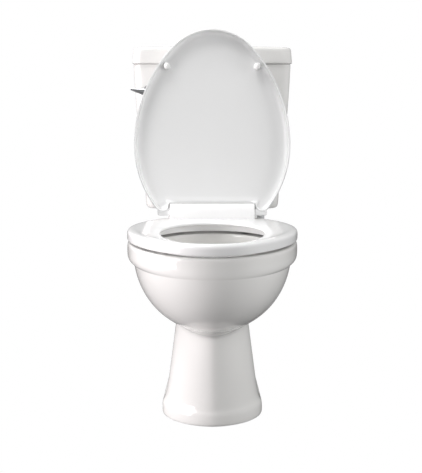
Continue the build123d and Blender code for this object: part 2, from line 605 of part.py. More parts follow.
HINGE_NUT_TOP = DECK_UNDERSIDE - WASHER_THICK
STUD_BOTTOM = HINGE_NUT_TOP - WING_NUT_THICK - THREAD_END
with BuildPart() as hinge_studs:
    with BuildSketch(level(STUD_BOTTOM)):
        with GridLocations(HINGE_CENTRES, 1, 2, 1):
            Circle(STUD_DIAMETER / 2)
    extrude(amount=RIM_HEIGHT + POST_DEPTH - STUD_BOTTOM)
hinge_studs.part.label = "hinge_studs"
export_step(hinge_studs.part, "parts/hinge_studs.step")


def washer_face(radius, bore):
    """Flat ring."""
    with BuildSketch() as face:
        Circle(radius)
        Circle(bore, mode=Mode.SUBTRACT)
    return face.sketch


def wing_nut_face(bore):
    """Hub with two wings across the object."""
    with BuildSketch() as face:
        Circle(WING_NUT_RADIUS)
        SlotOverall(WING_SPAN, WING_NUT_RADIUS * 0.6)
        Circle(bore, mode=Mode.SUBTRACT)
    return face.sketch


def backnut_face(radius, bore):
    """Hexagon with a threaded bore."""
    with BuildSketch() as face:
        RegularPolygon(radius, 6)
        Circle(bore, mode=Mode.SUBTRACT)
    return face.sketch


with BuildPart() as hinge_washers:
    with BuildSketch(level(HINGE_NUT_TOP)):
        with GridLocations(HINGE_CENTRES, 1, 2, 1):
            add(washer_face(WASHER_RADIUS, STUD_DIAMETER / 2))
    extrude(amount=WASHER_THICK)
hinge_washers.part.label = "hinge_washers"
export_step(hinge_washers.part, "parts/hinge_washers.step")

with BuildPart() as hinge_wing_nuts:
    with BuildSketch(level(HINGE_NUT_TOP)):
        with GridLocations(HINGE_CENTRES, 1, 2, 1):
            add(wing_nut_face(STUD_DIAMETER / 2))
    extrude(amount=-WING_NUT_THICK)
hinge_wing_nuts.part.label = "hinge_wing_nuts"
export_step(hinge_wing_nuts.part, "parts/hinge_wing_nuts.step")

# ---------------------------------------------------------------- cistern
CISTERN_SECTIONS = (
    (CISTERN_BOTTOM, CISTERN_WIDTH - CISTERN_BOTTOM_TAPER, CISTERN_BOTTOM_DEPTH),
    (CISTERN_BOTTOM + CISTERN_TAPER, CISTERN_WIDTH - CISTERN_MIDDLE_TAPER, CISTERN_DEPTH),
    (CISTERN_SEAM, CISTERN_WIDTH, CISTERN_DEPTH),
)
with BuildPart() as cistern:
    for height, width, depth in CISTERN_SECTIONS:
        with BuildSketch(Plane.XY.offset(height)):
            with Locations((0, CISTERN_REAR_Y - depth / 2)):
                RectangleRounded(width, depth, CISTERN_CORNER)
    loft(ruled=True)
    fillet(cistern.faces().sort_by(Axis.Z)[0].edges(), CISTERN_FLOOR - 2)
    for height, width, depth in CISTERN_SECTIONS:
        lift = CISTERN_FLOOR if height == CISTERN_BOTTOM else 0
        with BuildSketch(Plane.XY.offset(height + lift)):
            with Locations((0, CISTERN_REAR_Y - depth / 2)):
                inner_width = width - 2 * CISTERN_WALL
                RectangleRounded(inner_width, depth - 2 * CISTERN_WALL, CISTERN_CORNER - CISTERN_WALL)
    loft(ruled=True, mode=Mode.SUBTRACT)
    # Holes in the floor
    with BuildSketch(Plane.XY.offset(CISTERN_BOTTOM - 1)):
        with Locations((0, OUTLET_Y)):
            Circle(DOWNLEG_RADIUS + HOLE_PLAY)
            with GridLocations(COUPLING_CENTRES, 1, 2, 1):
                Circle(COUPLING_BOLT / 2 + HOLE_PLAY)
        with Locations((VALVE_X, OUTLET_Y)):
            Circle(TAIL_RADIUS + HOLE_PLAY)
    extrude(amount=CISTERN_FLOOR + 2, mode=Mode.SUBTRACT)
    # Lever hole in front, wall screw holes behind
    with BuildSketch(front_plane(CISTERN_FRONT_Y + CISTERN_WALL + 2)):
        with Locations((LEVER_X, LEVER_HEIGHT)):
            Circle(BUSH_DIAMETER / 2 + HOLE_PLAY)
    extrude(amount=CISTERN_WALL + 4, mode=Mode.SUBTRACT)
    with BuildSketch(front_plane(CISTERN_REAR_Y + 2)):
        with Locations((0, CISTERN_SEAM - WALL_SCREW_BELOW)):
            with GridLocations(WALL_SCREW_CENTRES, 1, 2, 1):
                Circle(WALL_SCREW_HOLE / 2)
    extrude(amount=CISTERN_WALL + 4, mode=Mode.SUBTRACT)
cistern.part.label = "cistern"
export_step(cistern.part, "parts/cistern.step")

LID_MID_Y = REAR_Y - CISTERN_LID_DEPTH / 2
with BuildPart() as cistern_lid:
    for height, narrow in ((CISTERN_SEAM, 0), (CISTERN_TOP, 2 * CISTERN_LID_OVERHANG)):
        with BuildSketch(Plane.XY.offset(height)):
            with Locations((0, LID_MID_Y)):
                RectangleRounded(CISTERN_LID_WIDTH - narrow, CISTERN_LID_DEPTH, CISTERN_CORNER)
    loft(ruled=True)
    fillet(cistern_lid.faces().sort_by(Axis.Z)[-1].edges(), 7)
    with BuildSketch(Plane.XY.offset(CISTERN_SEAM)):
        with Locations((0, LID_MID_Y)):
            RectangleRounded(
                CISTERN_LID_WIDTH - 2 * CISTERN_LID_OVERHANG - 2 * CISTERN_WALL,
                CISTERN_LID_DEPTH - 2 * CISTERN_FRONT_OVERHANG - 2 * CISTERN_WALL,
                CISTERN_CORNER - CISTERN_WALL,
            )
    extrude(amount=CISTERN_LID_HEIGHT - CISTERN_FLOOR, mode=Mode.SUBTRACT)
    # Lip that keeps the lid in place on the cistern
    LIP_CORNER = CISTERN_CORNER - CISTERN_WALL
    LIP_WIDTH = CISTERN_WIDTH - 2 * CISTERN_WALL - 2 * LIP_PLAY
    LIP_DEPTH = CISTERN_DEPTH - 2 * CISTERN_WALL - 2 * LIP_PLAY
    with BuildSketch(Plane.XY.offset(CISTERN_TOP - CISTERN_FLOOR)):
        with Locations((0, CISTERN_REAR_Y - CISTERN_DEPTH / 2)):
            RectangleRounded(LIP_WIDTH, LIP_DEPTH, LIP_CORNER)
            RectangleRounded(
                LIP_WIDTH - 2 * LIP_THICK,
                LIP_DEPTH - 2 * LIP_THICK,
                LIP_CORNER - LIP_THICK,
                mode=Mode.SUBTRACT,
            )
    extrude(amount=-(CISTERN_LID_HEIGHT - CISTERN_FLOOR + LIP_DROP))
cistern_lid.part.label = "cistern_lid"
export_step(cistern_lid.part, "parts/cistern_lid.step")

# ---------------------------------------------------------------- flush lever
with BuildPart() as lever_handle:
    with BuildSketch(front_plane(LEVER_FRONT_Y)):
        with Locations((LEVER_X, LEVER_HEIGHT)):
            Circle(LEVER_HUB_RADIUS)
    extrude(amount=LEVER_HUB_THICK)
    fillet(lever_handle.edges().sort_by(Axis.Y)[0], LEVER_HUB_THICK * 0.7)
    with BuildSketch(front_plane(LEVER_FRONT_Y - 1)):
        Polygon(
            (LEVER_TIP_X, LEVER_HEIGHT + 6),
            (LEVER_TIP_X + 8, LEVER_HEIGHT - 1),
            (LEVER_X, LEVER_HEIGHT - 17),
            (LEVER_X, LEVER_HEIGHT + 5),
            align=None,
        )
    extrude(amount=8)
    with BuildSketch(front_plane(LEVER_FRONT_Y)):
        with Locations((LEVER_X, LEVER_HEIGHT)):
            Circle(SPINDLE_DIAMETER / 2)
    extrude(amount=LEVER_HUB_THICK / 2, mode=Mode.SUBTRACT)
lever_handle.part.label = "lever_handle"
export_step(lever_handle.part, "parts/lever_handle.step")

with BuildPart() as lever_spindle:
    with BuildSketch(front_plane(SPINDLE_END_Y)):
        with Locations((LEVER_X, LEVER_HEIGHT)):
            Circle(SPINDLE_DIAMETER / 2)
    extrude(amount=SPINDLE_END_Y - LEVER_FRONT_Y + LEVER_HUB_THICK / 2)
lever_spindle.part.label = "lever_spindle"
export_step(lever_spindle.part, "parts/lever_spindle.step")

BUSH_END_Y = CISTERN_FRONT_Y + CISTERN_WALL + BUSH_THREAD
with BuildPart() as lever_bush:
    with BuildSketch(front_plane(CISTERN_FRONT_Y)):
        with Locations((LEVER_X, LEVER_HEIGHT)):
            Circle(BUSH_FLANGE_RADIUS)
    extrude(amount=SEAL_THICK)
    with BuildSketch(front_plane(BUSH_END_Y)):
        with Locations((LEVER_X, LEVER_HEIGHT)):
            Circle(BUSH_DIAMETER / 2)
    extrude(amount=BUSH_END_Y - CISTERN_FRONT_Y)
    with BuildSketch(front_plane(BUSH_END_Y)):
        with Locations((LEVER_X, LEVER_HEIGHT)):
            Circle((SPINDLE_DIAMETER + PIN_PLAY) / 2)
    extrude(amount=BUSH_END_Y - CISTERN_FRONT_Y + SEAL_THICK, mode=Mode.SUBTRACT)
lever_bush.part.label = "lever_bush"
export_step(lever_bush.part, "parts/lever_bush.step")

with BuildPart() as bush_washer:
    with BuildSketch(front_plane(CISTERN_FRONT_Y + CISTERN_WALL + SEAL_THICK)):
        with Locations((LEVER_X, LEVER_HEIGHT)):
            add(washer_face(BUSH_FLANGE_RADIUS, BUSH_DIAMETER / 2))
    extrude(amount=SEAL_THICK)
bush_washer.part.label = "bush_washer"
export_step(bush_washer.part, "parts/bush_washer.step")

with BuildPart() as bush_nut:
    with BuildSketch(front_plane(CISTERN_FRONT_Y + CISTERN_WALL + SEAL_THICK + BUSH_NUT_THICK)):
        with Locations((LEVER_X, LEVER_HEIGHT)):
            add(backnut_face(BUSH_DIAMETER / 2 + BUSH_NUT_RIM, BUSH_DIAMETER / 2))
    extrude(amount=BUSH_NUT_THICK)
bush_nut.part.label = "bush_nut"
export_step(bush_nut.part, "parts/bush_nut.step")

with BuildPart() as lift_arm:
    with BuildSketch(front_plane(SPINDLE_END_Y)):
        with Locations((LEVER_X, LEVER_HEIGHT)):
            Circle(SPINDLE_DIAMETER)
    extrude(amount=ARM_HEIGHT)
    with BuildSketch(tilted_plane(LEVER_X, LEVER_HEIGHT, ARM_START)):
        with BuildLine():
            Polyline(
                (0, SPINDLE_END_Y - ARM_HEIGHT / 2),
                (ARM_REACH * 0.3, SPINDLE_END_Y - ARM_HEIGHT / 2),
                (ARM_REACH * 0.7, OUTLET_Y),
                (ARM_REACH + 10, OUTLET_Y),
            )
        trace(line_width=ARM_THICK)
    extrude(amount=ARM_HEIGHT / 2, both=True)
    with BuildSketch(front_plane(SPINDLE_END_Y)):
        with Locations((LEVER_X, LEVER_HEIGHT)):
            Circle(SPINDLE_DIAMETER / 2)
    extrude(amount=ARM_HEIGHT, mode=Mode.SUBTRACT)
lift_arm.part.label = "lift_arm"
export_step(lift_arm.part, "parts/lift_arm.step")

# ---------------------------------------------------------------- siphon
def lifting_eye(x, height, bar_height):
    """Centre radius of the wire eye round a lifting bar, and the plane it is swept on."""
    radius = bar_height / 2 + EYE_PLAY + WIRE / 2
    return radius, Plane(origin=(x, OUTLET_Y, height), x_dir=(0, 1, 0), z_dir=(1, 0, 0))


rod_eye, rod_eye_plane = lifting_eye(SIPHON_X, ROD_TOP, ARM_HEIGHT)
with BuildPart() as plunger_rod:
    with BuildSketch(Plane.XY.offset(PLUNGER_BOTTOM)):
        with Locations((SIPHON_X, OUTLET_Y)):
            Circle(ROD_DIAMETER / 2)
    extrude(amount=ROD_TOP - rod_eye - PLUNGER_BOTTOM)
    with Locations(rod_eye_plane):
        Torus(rod_eye, WIRE / 2)
plunger_rod.part.label = "plunger_rod"
export_step(plunger_rod.part, "parts/plunger_rod.step")

with BuildPart() as plunger_disc:
    with BuildSketch(Plane.XY.offset(PLUNGER_BOTTOM)):
        with Locations((SIPHON_X, OUTLET_Y)):
            add(washer_face(CHAMBER_RADIUS - SIPHON_WALL - PLUNGER_PLAY, ROD_DIAMETER / 2))
    extrude(amount=PLUNGER_THICK)
plunger_disc.part.label = "plunger_disc"
export_step(plunger_disc.part, "parts/plunger_disc.step")

FLANGE_BOTTOM = CISTERN_FLOOR_TOP + SEAL_THICK
CROWN_FLOOR = SIPHON_CROWN - 2 * DOWNLEG_RADIUS
with BuildPart() as siphon_body:
    with BuildSketch(Plane.XY.offset(CHAMBER_BOTTOM)):
        with Locations((SIPHON_X, OUTLET_Y)):
            Circle(CHAMBER_RADIUS)
    extrude(amount=CHAMBER_HEIGHT)
    with BuildSketch(Plane.XY.offset(CHAMBER_TOP - 1)):
        with Locations((SIPHON_X, OUTLET_Y)):
            Circle(DOWNLEG_RADIUS)
    extrude(amount=CROWN_FLOOR - CHAMBER_TOP + 2)
    with BuildSketch(Plane.XY.offset(CROWN_FLOOR)):
        with Locations((SIPHON_X / 2, OUTLET_Y)):
            SlotCenterToCenter(-SIPHON_X, 2 * DOWNLEG_RADIUS)
    extrude(amount=2 * DOWNLEG_RADIUS)
    fillet(siphon_body.faces().sort_by(Axis.Z)[-1].edges(), 10)
    with BuildSketch(Plane.XY.offset(CISTERN_FLOOR_TOP - SIPHON_TAIL)):
        with Locations((0, OUTLET_Y)):
            Circle(DOWNLEG_RADIUS)
    extrude(amount=CROWN_FLOOR - CISTERN_FLOOR_TOP + SIPHON_TAIL + 2)
    with BuildSketch(Plane.XY.offset(FLANGE_BOTTOM)):
        with Locations((0, OUTLET_Y)):
            Circle(SIPHON_FLANGE_RADIUS)
    extrude(amount=SEAL_THICK)
    # Water ways
    with BuildSketch(Plane.XY.offset(CHAMBER_BOTTOM - 1)):
        with Locations((SIPHON_X, OUTLET_Y)):
            Circle(CHAMBER_RADIUS - SIPHON_WALL)
    extrude(amount=CHAMBER_HEIGHT - SIPHON_WALL + 1, mode=Mode.SUBTRACT)
    with BuildSketch(Plane.XY.offset(CHAMBER_TOP - 2 * SIPHON_WALL)):
        with Locations((SIPHON_X, OUTLET_Y)):
            Circle(DOWNLEG_RADIUS - SIPHON_WALL)
    extrude(amount=CROWN_FLOOR - CHAMBER_TOP + 4 * SIPHON_WALL, mode=Mode.SUBTRACT)
    with BuildSketch(Plane.XY.offset(CROWN_FLOOR + SIPHON_WALL)):
        with Locations((SIPHON_X / 2, OUTLET_Y)):
            SlotCenterToCenter(-SIPHON_X, 2 * (DOWNLEG_RADIUS - SIPHON_WALL))
    extrude(amount=2 * (DOWNLEG_RADIUS - SIPHON_WALL), mode=Mode.SUBTRACT)
    with BuildSketch(Plane.XY.offset(CISTERN_FLOOR_TOP - SIPHON_TAIL)):
        with Locations((0, OUTLET_Y)):
            Circle(DOWNLEG_RADIUS - SIPHON_WALL)
    extrude(amount=CROWN_FLOOR - CISTERN_FLOOR_TOP + SIPHON_TAIL + 2 * SIPHON_WALL, mode=Mode.SUBTRACT)
    with BuildSketch(Plane.XY.offset(SIPHON_CROWN + 1)):
        with Locations((SIPHON_X, OUTLET_Y)):
            Circle(ROD_DIAMETER / 2 + HOLE_PLAY / 2)
    extrude(amount=-3 * SIPHON_WALL, mode=Mode.SUBTRACT)
siphon_body.part.label = "siphon_body"
export_step(siphon_body.part, "parts/siphon_body.step")

with BuildPart() as siphon_washer:
    with BuildSketch(Plane.XY.offset(CISTERN_FLOOR_TOP)):
        with Locations((0, OUTLET_Y)):
            add(washer_face(SIPHON_FLANGE_RADIUS, DOWNLEG_RADIUS))
    extrude(amount=SEAL_THICK)
siphon_washer.part.label = "siphon_washer"
export_step(siphon_washer.part, "parts/siphon_washer.step")

with BuildPart() as siphon_backnut:
    with BuildSketch(Plane.XY.offset(CISTERN_BOTTOM)):
        with Locations((0, OUTLET_Y)):
            add(backnut_face(SIPHON_NUT_RADIUS, DOWNLEG_RADIUS))
    extrude(amount=-BACKNUT_THICK)
siphon_backnut.part.label = "siphon_backnut"
export_step(siphon_backnut.part, "parts/siphon_backnut.step")

# ---------------------------------------------------------------- coupling of cistern and pan
with BuildPart() as doughnut_seal:
    with BuildSketch(Plane.XY.offset(SHELF_HEIGHT - DOUGHNUT_RECESS)):
        with Locations((0, OUTLET_Y)):
            add(washer_face(DOUGHNUT_RADIUS, DOUGHNUT_BORE))
    extrude(amount=CISTERN_BOTTOM - SHELF_HEIGHT + DOUGHNUT_RECESS)
doughnut_seal.part.label = "doughnut_seal"
export_step(doughnut_seal.part, "parts/doughnut_seal.step")

HEAD_BOTTOM = CISTERN_FLOOR_TOP + SEAL_THICK
COUPLING_NUT_TOP = DECK_UNDERSIDE - WASHER_THICK
COUPLING_BOLT_END = COUPLING_NUT_TOP - WING_NUT_THICK - THREAD_END
with BuildPart() as coupling_bolts:
    with BuildSketch(Plane.XY.offset(COUPLING_BOLT_END)):
        with Locations((0, OUTLET_Y)):
            with GridLocations(COUPLING_CENTRES, 1, 2, 1):
                Circle(COUPLING_BOLT / 2)
    extrude(amount=HEAD_BOTTOM - COUPLING_BOLT_END + 1)
    with BuildSketch(Plane.XY.offset(HEAD_BOTTOM)):
        with Locations((0, OUTLET_Y)):
            with GridLocations(COUPLING_CENTRES, 1, 2, 1):
                RegularPolygon(BOLT_HEAD_RADIUS, 6)
    extrude(amount=BOLT_HEAD_THICK)
coupling_bolts.part.label = "coupling_bolts"
export_step(coupling_bolts.part, "parts/coupling_bolts.step")

with BuildPart() as coupling_seals:
    for height, thick in ((CISTERN_FLOOR_TOP, SEAL_THICK), (COUPLING_NUT_TOP, WASHER_THICK)):
        with BuildSketch(Plane.XY.offset(height)):
            with Locations((0, OUTLET_Y)):
                with GridLocations(COUPLING_CENTRES, 1, 2, 1):
                    add(washer_face(BOLT_HEAD_RADIUS + 2, COUPLING_BOLT / 2))
        extrude(amount=thick)
coupling_seals.part.label = "coupling_seals"
export_step(coupling_seals.part, "parts/coupling_seals.step")

with BuildPart() as coupling_wing_nuts:
    with BuildSketch(Plane.XY.offset(COUPLING_NUT_TOP)):
        with Locations((0, OUTLET_Y)):
            with GridLocations(COUPLING_CENTRES, 1, 2, 1):
                add(wing_nut_face(COUPLING_BOLT / 2))
    extrude(amount=-WING_NUT_THICK)
coupling_wing_nuts.part.label = "coupling_wing_nuts"
export_step(coupling_wing_nuts.part, "parts/coupling_wing_nuts.step")

# ---------------------------------------------------------------- filling valve
with BuildPart() as valve_body:
    with BuildSketch(Plane.XY.offset(CISTERN_FLOOR_TOP - TAIL_LENGTH)):
        with Locations((VALVE_X, OUTLET_Y)):
            Circle(TAIL_FREE_RADIUS)
    extrude(amount=TAIL_FREE)
    with BuildSketch(Plane.XY.offset(CISTERN_FLOOR_TOP - TAIL_LENGTH + TAIL_FREE)):
        with Locations((VALVE_X, OUTLET_Y)):
            Circle(TAIL_RADIUS)
    extrude(amount=TAIL_LENGTH - TAIL_FREE + SEAL_THICK)
    with BuildSketch(Plane.XY.offset(FLANGE_BOTTOM)):
        with Locations((VALVE_X, OUTLET_Y)):
            Circle(STANDPIPE_RADIUS + VALVE_FLANGE)
    extrude(amount=2 * SEAL_THICK)
    with BuildSketch(Plane.XY.offset(FLANGE_BOTTOM)):
        with Locations((VALVE_X, OUTLET_Y)):
            Circle(STANDPIPE_RADIUS)
    extrude(amount=VALVE_TOP - VALVE_HEAD_HEIGHT - FLANGE_BOTTOM)
    with BuildSketch(Plane.XY.offset(VALVE_TOP - VALVE_HEAD_HEIGHT)):
        with Locations((VALVE_X, OUTLET_Y)):
            RectangleRounded(VALVE_HEAD_WIDTH, VALVE_HEAD_DEPTH, VALVE_HEAD_CORNER)
    extrude(amount=VALVE_HEAD_HEIGHT)
    with BuildSketch(Plane.XY.offset(CISTERN_FLOOR_TOP - TAIL_LENGTH)):
        with Locations((VALVE_X, OUTLET_Y)):
            Circle(STANDPIPE_BORE)
    extrude(amount=VALVE_TOP - CISTERN_FLOOR_TOP + TAIL_LENGTH - 6, mode=Mode.SUBTRACT)
valve_body.part.label = "valve_body"
export_step(valve_body.part, "parts/valve_body.step")

EAR_THICK = 3.0
EAR_GAP = VALVE_ARM_THICK + 2 * SIDE_PLAY
EAR_REACH = VALVE_PIVOT_HEIGHT - VALVE_TOP
with BuildPart() as valve_cap:
    with BuildSketch(Plane.XY.offset(VALVE_TOP)):
        with Locations((VALVE_X, OUTLET_Y)):
            RectangleRounded(VALVE_HEAD_WIDTH, VALVE_HEAD_DEPTH, VALVE_HEAD_CORNER)
    extrude(amount=EAR_THICK)
    for start in (OUTLET_Y + EAR_GAP / 2 + EAR_THICK, OUTLET_Y - EAR_GAP / 2):
        with BuildSketch(front_plane(start)):
            with Locations((VALVE_PIVOT_X, VALVE_PIVOT_HEIGHT)):
                Circle(4)
                Rectangle(8, EAR_REACH - EAR_THICK / 2, align=(Align.CENTER, Align.MAX))
                Circle(VALVE_PIVOT_PIN / 2, mode=Mode.SUBTRACT)
        extrude(amount=EAR_THICK)
valve_cap.part.label = "valve_cap"
export_step(valve_cap.part, "parts/valve_cap.step")

with BuildPart() as valve_pin:
    with BuildSketch(front_plane(OUTLET_Y + EAR_GAP / 2 + EAR_THICK)):
        with Locations((VALVE_PIVOT_X, VALVE_PIVOT_HEIGHT)):
            Circle(VALVE_PIVOT_PIN / 2)
    extrude(amount=EAR_GAP + 2 * EAR_THICK)
valve_pin.part.label = "valve_pin"
export_step(valve_pin.part, "parts/valve_pin.step")

with BuildPart() as valve_arm:
    with BuildSketch(tilted_plane(VALVE_PIVOT_X, VALVE_PIVOT_HEIGHT, -VALVE_ARM_START)):
        with Locations((0, OUTLET_Y)):
            Rectangle(VALVE_ARM_REACH + 8, VALVE_ARM_THICK, align=(Align.MAX, Align.CENTER))
    extrude(amount=VALVE_ARM_HEIGHT / 2, both=True)
    with BuildSketch(front_plane(OUTLET_Y + VALVE_ARM_THICK / 2)):
        with Locations((VALVE_PIVOT_X, VALVE_PIVOT_HEIGHT)):
            Circle(VALVE_ARM_HEIGHT / 2 + 0.5)
            Circle((VALVE_PIVOT_PIN + PIN_PLAY) / 2, mode=Mode.SUBTRACT)
    extrude(amount=VALVE_ARM_THICK)
    with BuildSketch(front_plane(OUTLET_Y + VALVE_ARM_THICK)):
        with Locations((VALVE_PIVOT_X, VALVE_PIVOT_HEIGHT)):
            Circle((VALVE_PIVOT_PIN + PIN_PLAY) / 2)
    extrude(amount=2 * VALVE_ARM_THICK, mode=Mode.SUBTRACT)
valve_arm.part.label = "valve_arm"
export_step(valve_arm.part, "parts/valve_arm.step")

with BuildPart() as float_cup:
    with BuildSketch(Plane.XY.offset(FLOAT_BOTTOM)):
        with Locations((VALVE_X, OUTLET_Y)):
            add(washer_face(FLOAT_RADIUS, STANDPIPE_RADIUS + HOLE_PLAY))
    extrude(amount=FLOAT_HEIGHT)
    with BuildSketch(Plane.XY.offset(FLOAT_BOTTOM)):
        with Locations((VALVE_X, OUTLET_Y)):
            add(washer_face(FLOAT_RADIUS - FLOAT_WALL, STANDPIPE_RADIUS + HOLE_PLAY + FLOAT_WALL))
    extrude(amount=FLOAT_HEIGHT - FLOAT_WALL, mode=Mode.SUBTRACT)
float_cup.part.label = "float_cup"
export_step(float_cup.part, "parts/float_cup.step")

link_eye, link_eye_plane = lifting_eye(FLOAT_LINK_X, FLOAT_LINK_TOP, VALVE_ARM_HEIGHT)
with BuildPart() as float_link:
    with BuildSketch(Plane.XY.offset(FLOAT_BOTTOM + FLOAT_HEIGHT)):
        with Locations((FLOAT_LINK_X, OUTLET_Y)):
            Circle(WIRE / 2)
    extrude(amount=FLOAT_LINK_TOP - link_eye - FLOAT_BOTTOM - FLOAT_HEIGHT)
    with Locations(link_eye_plane):
        Torus(link_eye, WIRE / 2)
float_link.part.label = "float_link"
export_step(float_link.part, "parts/float_link.step")

with BuildPart() as valve_washer:
    with BuildSketch(Plane.XY.offset(CISTERN_FLOOR_TOP)):
        with Locations((VALVE_X, OUTLET_Y)):
            add(washer_face(STANDPIPE_RADIUS + VALVE_FLANGE, TAIL_RADIUS))
    extrude(amount=SEAL_THICK)
valve_washer.part.label = "valve_washer"
export_step(valve_washer.part, "parts/valve_washer.step")

with BuildPart() as valve_backnut:
    with BuildSketch(Plane.XY.offset(CISTERN_BOTTOM)):
        with Locations((VALVE_X, OUTLET_Y)):
            add(backnut_face(TAIL_RADIUS + VALVE_NUT_RIM, TAIL_RADIUS))
    extrude(amount=-BACKNUT_THICK)
valve_backnut.part.label = "valve_backnut"
export_step(valve_backnut.part, "parts/valve_backnut.step")
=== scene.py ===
"""Looks of a close coupled toilet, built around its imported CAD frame."""

import logging
import math
from dataclasses import dataclass, field
from enum import Enum
from typing import Callable, Sequence

import bmesh
import bpy
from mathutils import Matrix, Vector


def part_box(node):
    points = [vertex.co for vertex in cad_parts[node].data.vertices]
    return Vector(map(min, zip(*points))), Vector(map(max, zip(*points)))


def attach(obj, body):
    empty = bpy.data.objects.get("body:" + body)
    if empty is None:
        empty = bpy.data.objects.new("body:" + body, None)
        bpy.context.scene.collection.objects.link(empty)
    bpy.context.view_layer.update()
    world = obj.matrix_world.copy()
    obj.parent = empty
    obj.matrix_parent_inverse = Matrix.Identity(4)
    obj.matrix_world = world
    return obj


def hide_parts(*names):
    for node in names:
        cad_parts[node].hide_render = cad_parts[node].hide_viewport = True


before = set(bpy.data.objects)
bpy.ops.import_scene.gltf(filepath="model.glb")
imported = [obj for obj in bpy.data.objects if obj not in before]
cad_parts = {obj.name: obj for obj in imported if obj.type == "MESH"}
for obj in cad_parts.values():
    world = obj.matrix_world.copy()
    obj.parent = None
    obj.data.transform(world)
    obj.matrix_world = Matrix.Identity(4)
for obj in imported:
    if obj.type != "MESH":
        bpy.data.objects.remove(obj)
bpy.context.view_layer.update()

log = logging.getLogger("toilet")
MM = 0.001
Place = Callable[[int], Vector]
Flat = tuple[float, float]


# ---------------------------------------------------------------- frame
class Axis:
    """The seat hinge axis, which every outline is measured from."""

    low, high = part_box("hinge_pins")
    y = (low.y + high.y) / 2
    z = (low.z + high.z) / 2


def ahead(x: float, forward: float, height: float) -> Vector:
    """Turns millimetres right, ahead of the hinge and above the floor into the frame."""
    return Vector((x * MM, Axis.y - forward * MM, height * MM))


def smooth(share: float) -> float:
    """Eases a share from 0 to 1, with no kink at either end."""
    share = min(1.0, max(0.0, share))
    return share * share * (3 - 2 * share)


def mix(low: float, high: float, share: float) -> float:
    """Value between two others."""
    return low + (high - low) * share


# ---------------------------------------------------------------- materials
class Pattern(Enum):
    """How a finish varies over its surface."""

    EVEN = "even"
    TURNED = "turned"
    DRAWN = "drawn"


def linear(colour: str) -> tuple[float, float, float, float]:
    """Turns an sRGB hex colour into linear light.

    Args:
        colour: six hex digits with a leading hash.

    Returns:
        Red, green, blue and an alpha of one.
    """
    parts = [int(colour[i:i + 2], 16) / 255 for i in (1, 3, 5)]
    red, green, blue = (p / 12.92 if p <= 0.04045 else ((p + 0.055) / 1.055) ** 2.4 for p in parts)
    return red, green, blue, 1.0


def add_node(tree: bpy.types.NodeTree, kind: str, links: dict | None = None, **settings) -> bpy.types.Node:
    """Adds a shader node with its settings and links.

    Args:
        tree: the node tree.
        kind: the node's type name.
        links: input name or number to an output socket or a constant.
        settings: the node's own properties.

    Returns:
        The new node.
    """
    node = tree.nodes.new(kind)
    for name, value in settings.items():
        setattr(node, name, value)
    for name, source in (links or {}).items():
        if isinstance(source, bpy.types.NodeSocket):
            tree.links.new(source, node.inputs[name])
        else:
            node.inputs[name].default_value = source
    return node


@dataclass(frozen=True)
class Finish:
    """One real material and how its surface was made."""

    name: str
    colour: str
    shade: str
    roughness: float
    spread: float = 0.03
    patch_mm: float = 45.0
    grain_mm: float = 3.0
    grain_depth_mm: float = 0.01
    metallic: float = 0.0
    ior: float = 1.5
    coat: float = 0.0
    pattern: Pattern = Pattern.EVEN

    def material(self) -> bpy.types.Material:
        """Returns the Blender material, made the first time it is asked for."""
        found = bpy.data.materials.get(self.name)
        if found:
            return found
        made = bpy.data.materials.new(self.name)
        made.use_nodes = True
        tree = made.node_tree
        shader = tree.nodes["Principled BSDF"]
        place = add_node(tree, "ShaderNodeTexCoord").outputs["Object"]
        if self.pattern is Pattern.DRAWN:
            stretch = {"Vector": place, "Scale": (1.0, 1.0, 0.05)}
            place = add_node(tree, "ShaderNodeMapping", stretch).outputs["Vector"]

        def noise(size_mm: float, detail: float) -> bpy.types.NodeSocket:
            """Noise whose patches have one size."""
            links = {"Vector": place, "Scale": 1 / (size_mm * MM), "Detail": detail}
            return add_node(tree, "ShaderNodeTexNoise", links).outputs[0]

        patches = noise(self.patch_mm, 2.0)
        shades = {0: patches, 6: linear(self.colour), 7: linear(self.shade)}
        tone = add_node(tree, "ShaderNodeMix", shades, data_type="RGBA")
        tree.links.new(tone.outputs[2], shader.inputs["Base Color"])
        span = {
            "Value": patches, "From Min": 0.3, "From Max": 0.7,
            "To Min": max(0.02, self.roughness - self.spread), "To Max": self.roughness + self.spread,
        }
        gloss = add_node(tree, "ShaderNodeMapRange", span)
        tree.links.new(gloss.outputs["Result"], shader.inputs["Roughness"])
        if self.pattern is Pattern.TURNED:
            rings = {"Vector": place, "Scale": 1 / (self.grain_mm * MM) / 20, "Distortion": 0.4}
            wave = add_node(tree, "ShaderNodeTexWave", rings, wave_type="RINGS", rings_direction="SPHERICAL")
            grain = wave.outputs["Fac"]
        else:
            grain = noise(self.grain_mm, 3.0)
        relief = {"Height": grain, "Strength": 1.0, "Distance": self.grain_depth_mm * MM}
        bump = add_node(tree, "ShaderNodeBump", relief)
        tree.links.new(bump.outputs["Normal"], shader.inputs["Normal"])
        shader.inputs["Metallic"].default_value = self.metallic
        if not self.metallic:
            shader.inputs["IOR"].default_value = self.ior
        shader.inputs["Coat Weight"].default_value = self.coat
        shader.inputs["Coat Roughness"].default_value = 0.04
        return made


# Vitreous china, dipped and fired: a deep clear glaze over white clay, with the slow waviness of the casting.
CHINA = Finish("vitreous_china_glazed", "#F7F6F4", "#F2F1EF", 0.10, 0.02, 160, 38, 0.05, ior=1.55, coat=0.6)
# Thermoset seat plastic, pressed in a polished mould: a shade cooler and a little softer in its gloss.
SEAT = Finish("urea_moulding_polished", "#F8F8F8", "#F4F4F4", 0.13, 0.02, 120, 30, 0.02, ior=1.52, coat=0.3)
# Soft ethylene vinyl, moulded: satin, so the light on it is broad.
BUFFER = Finish("soft_vinyl_moulded", "#F7F7F6", "#EFEFEE", 0.32, 0.04, 12, 1.2, 0.02)
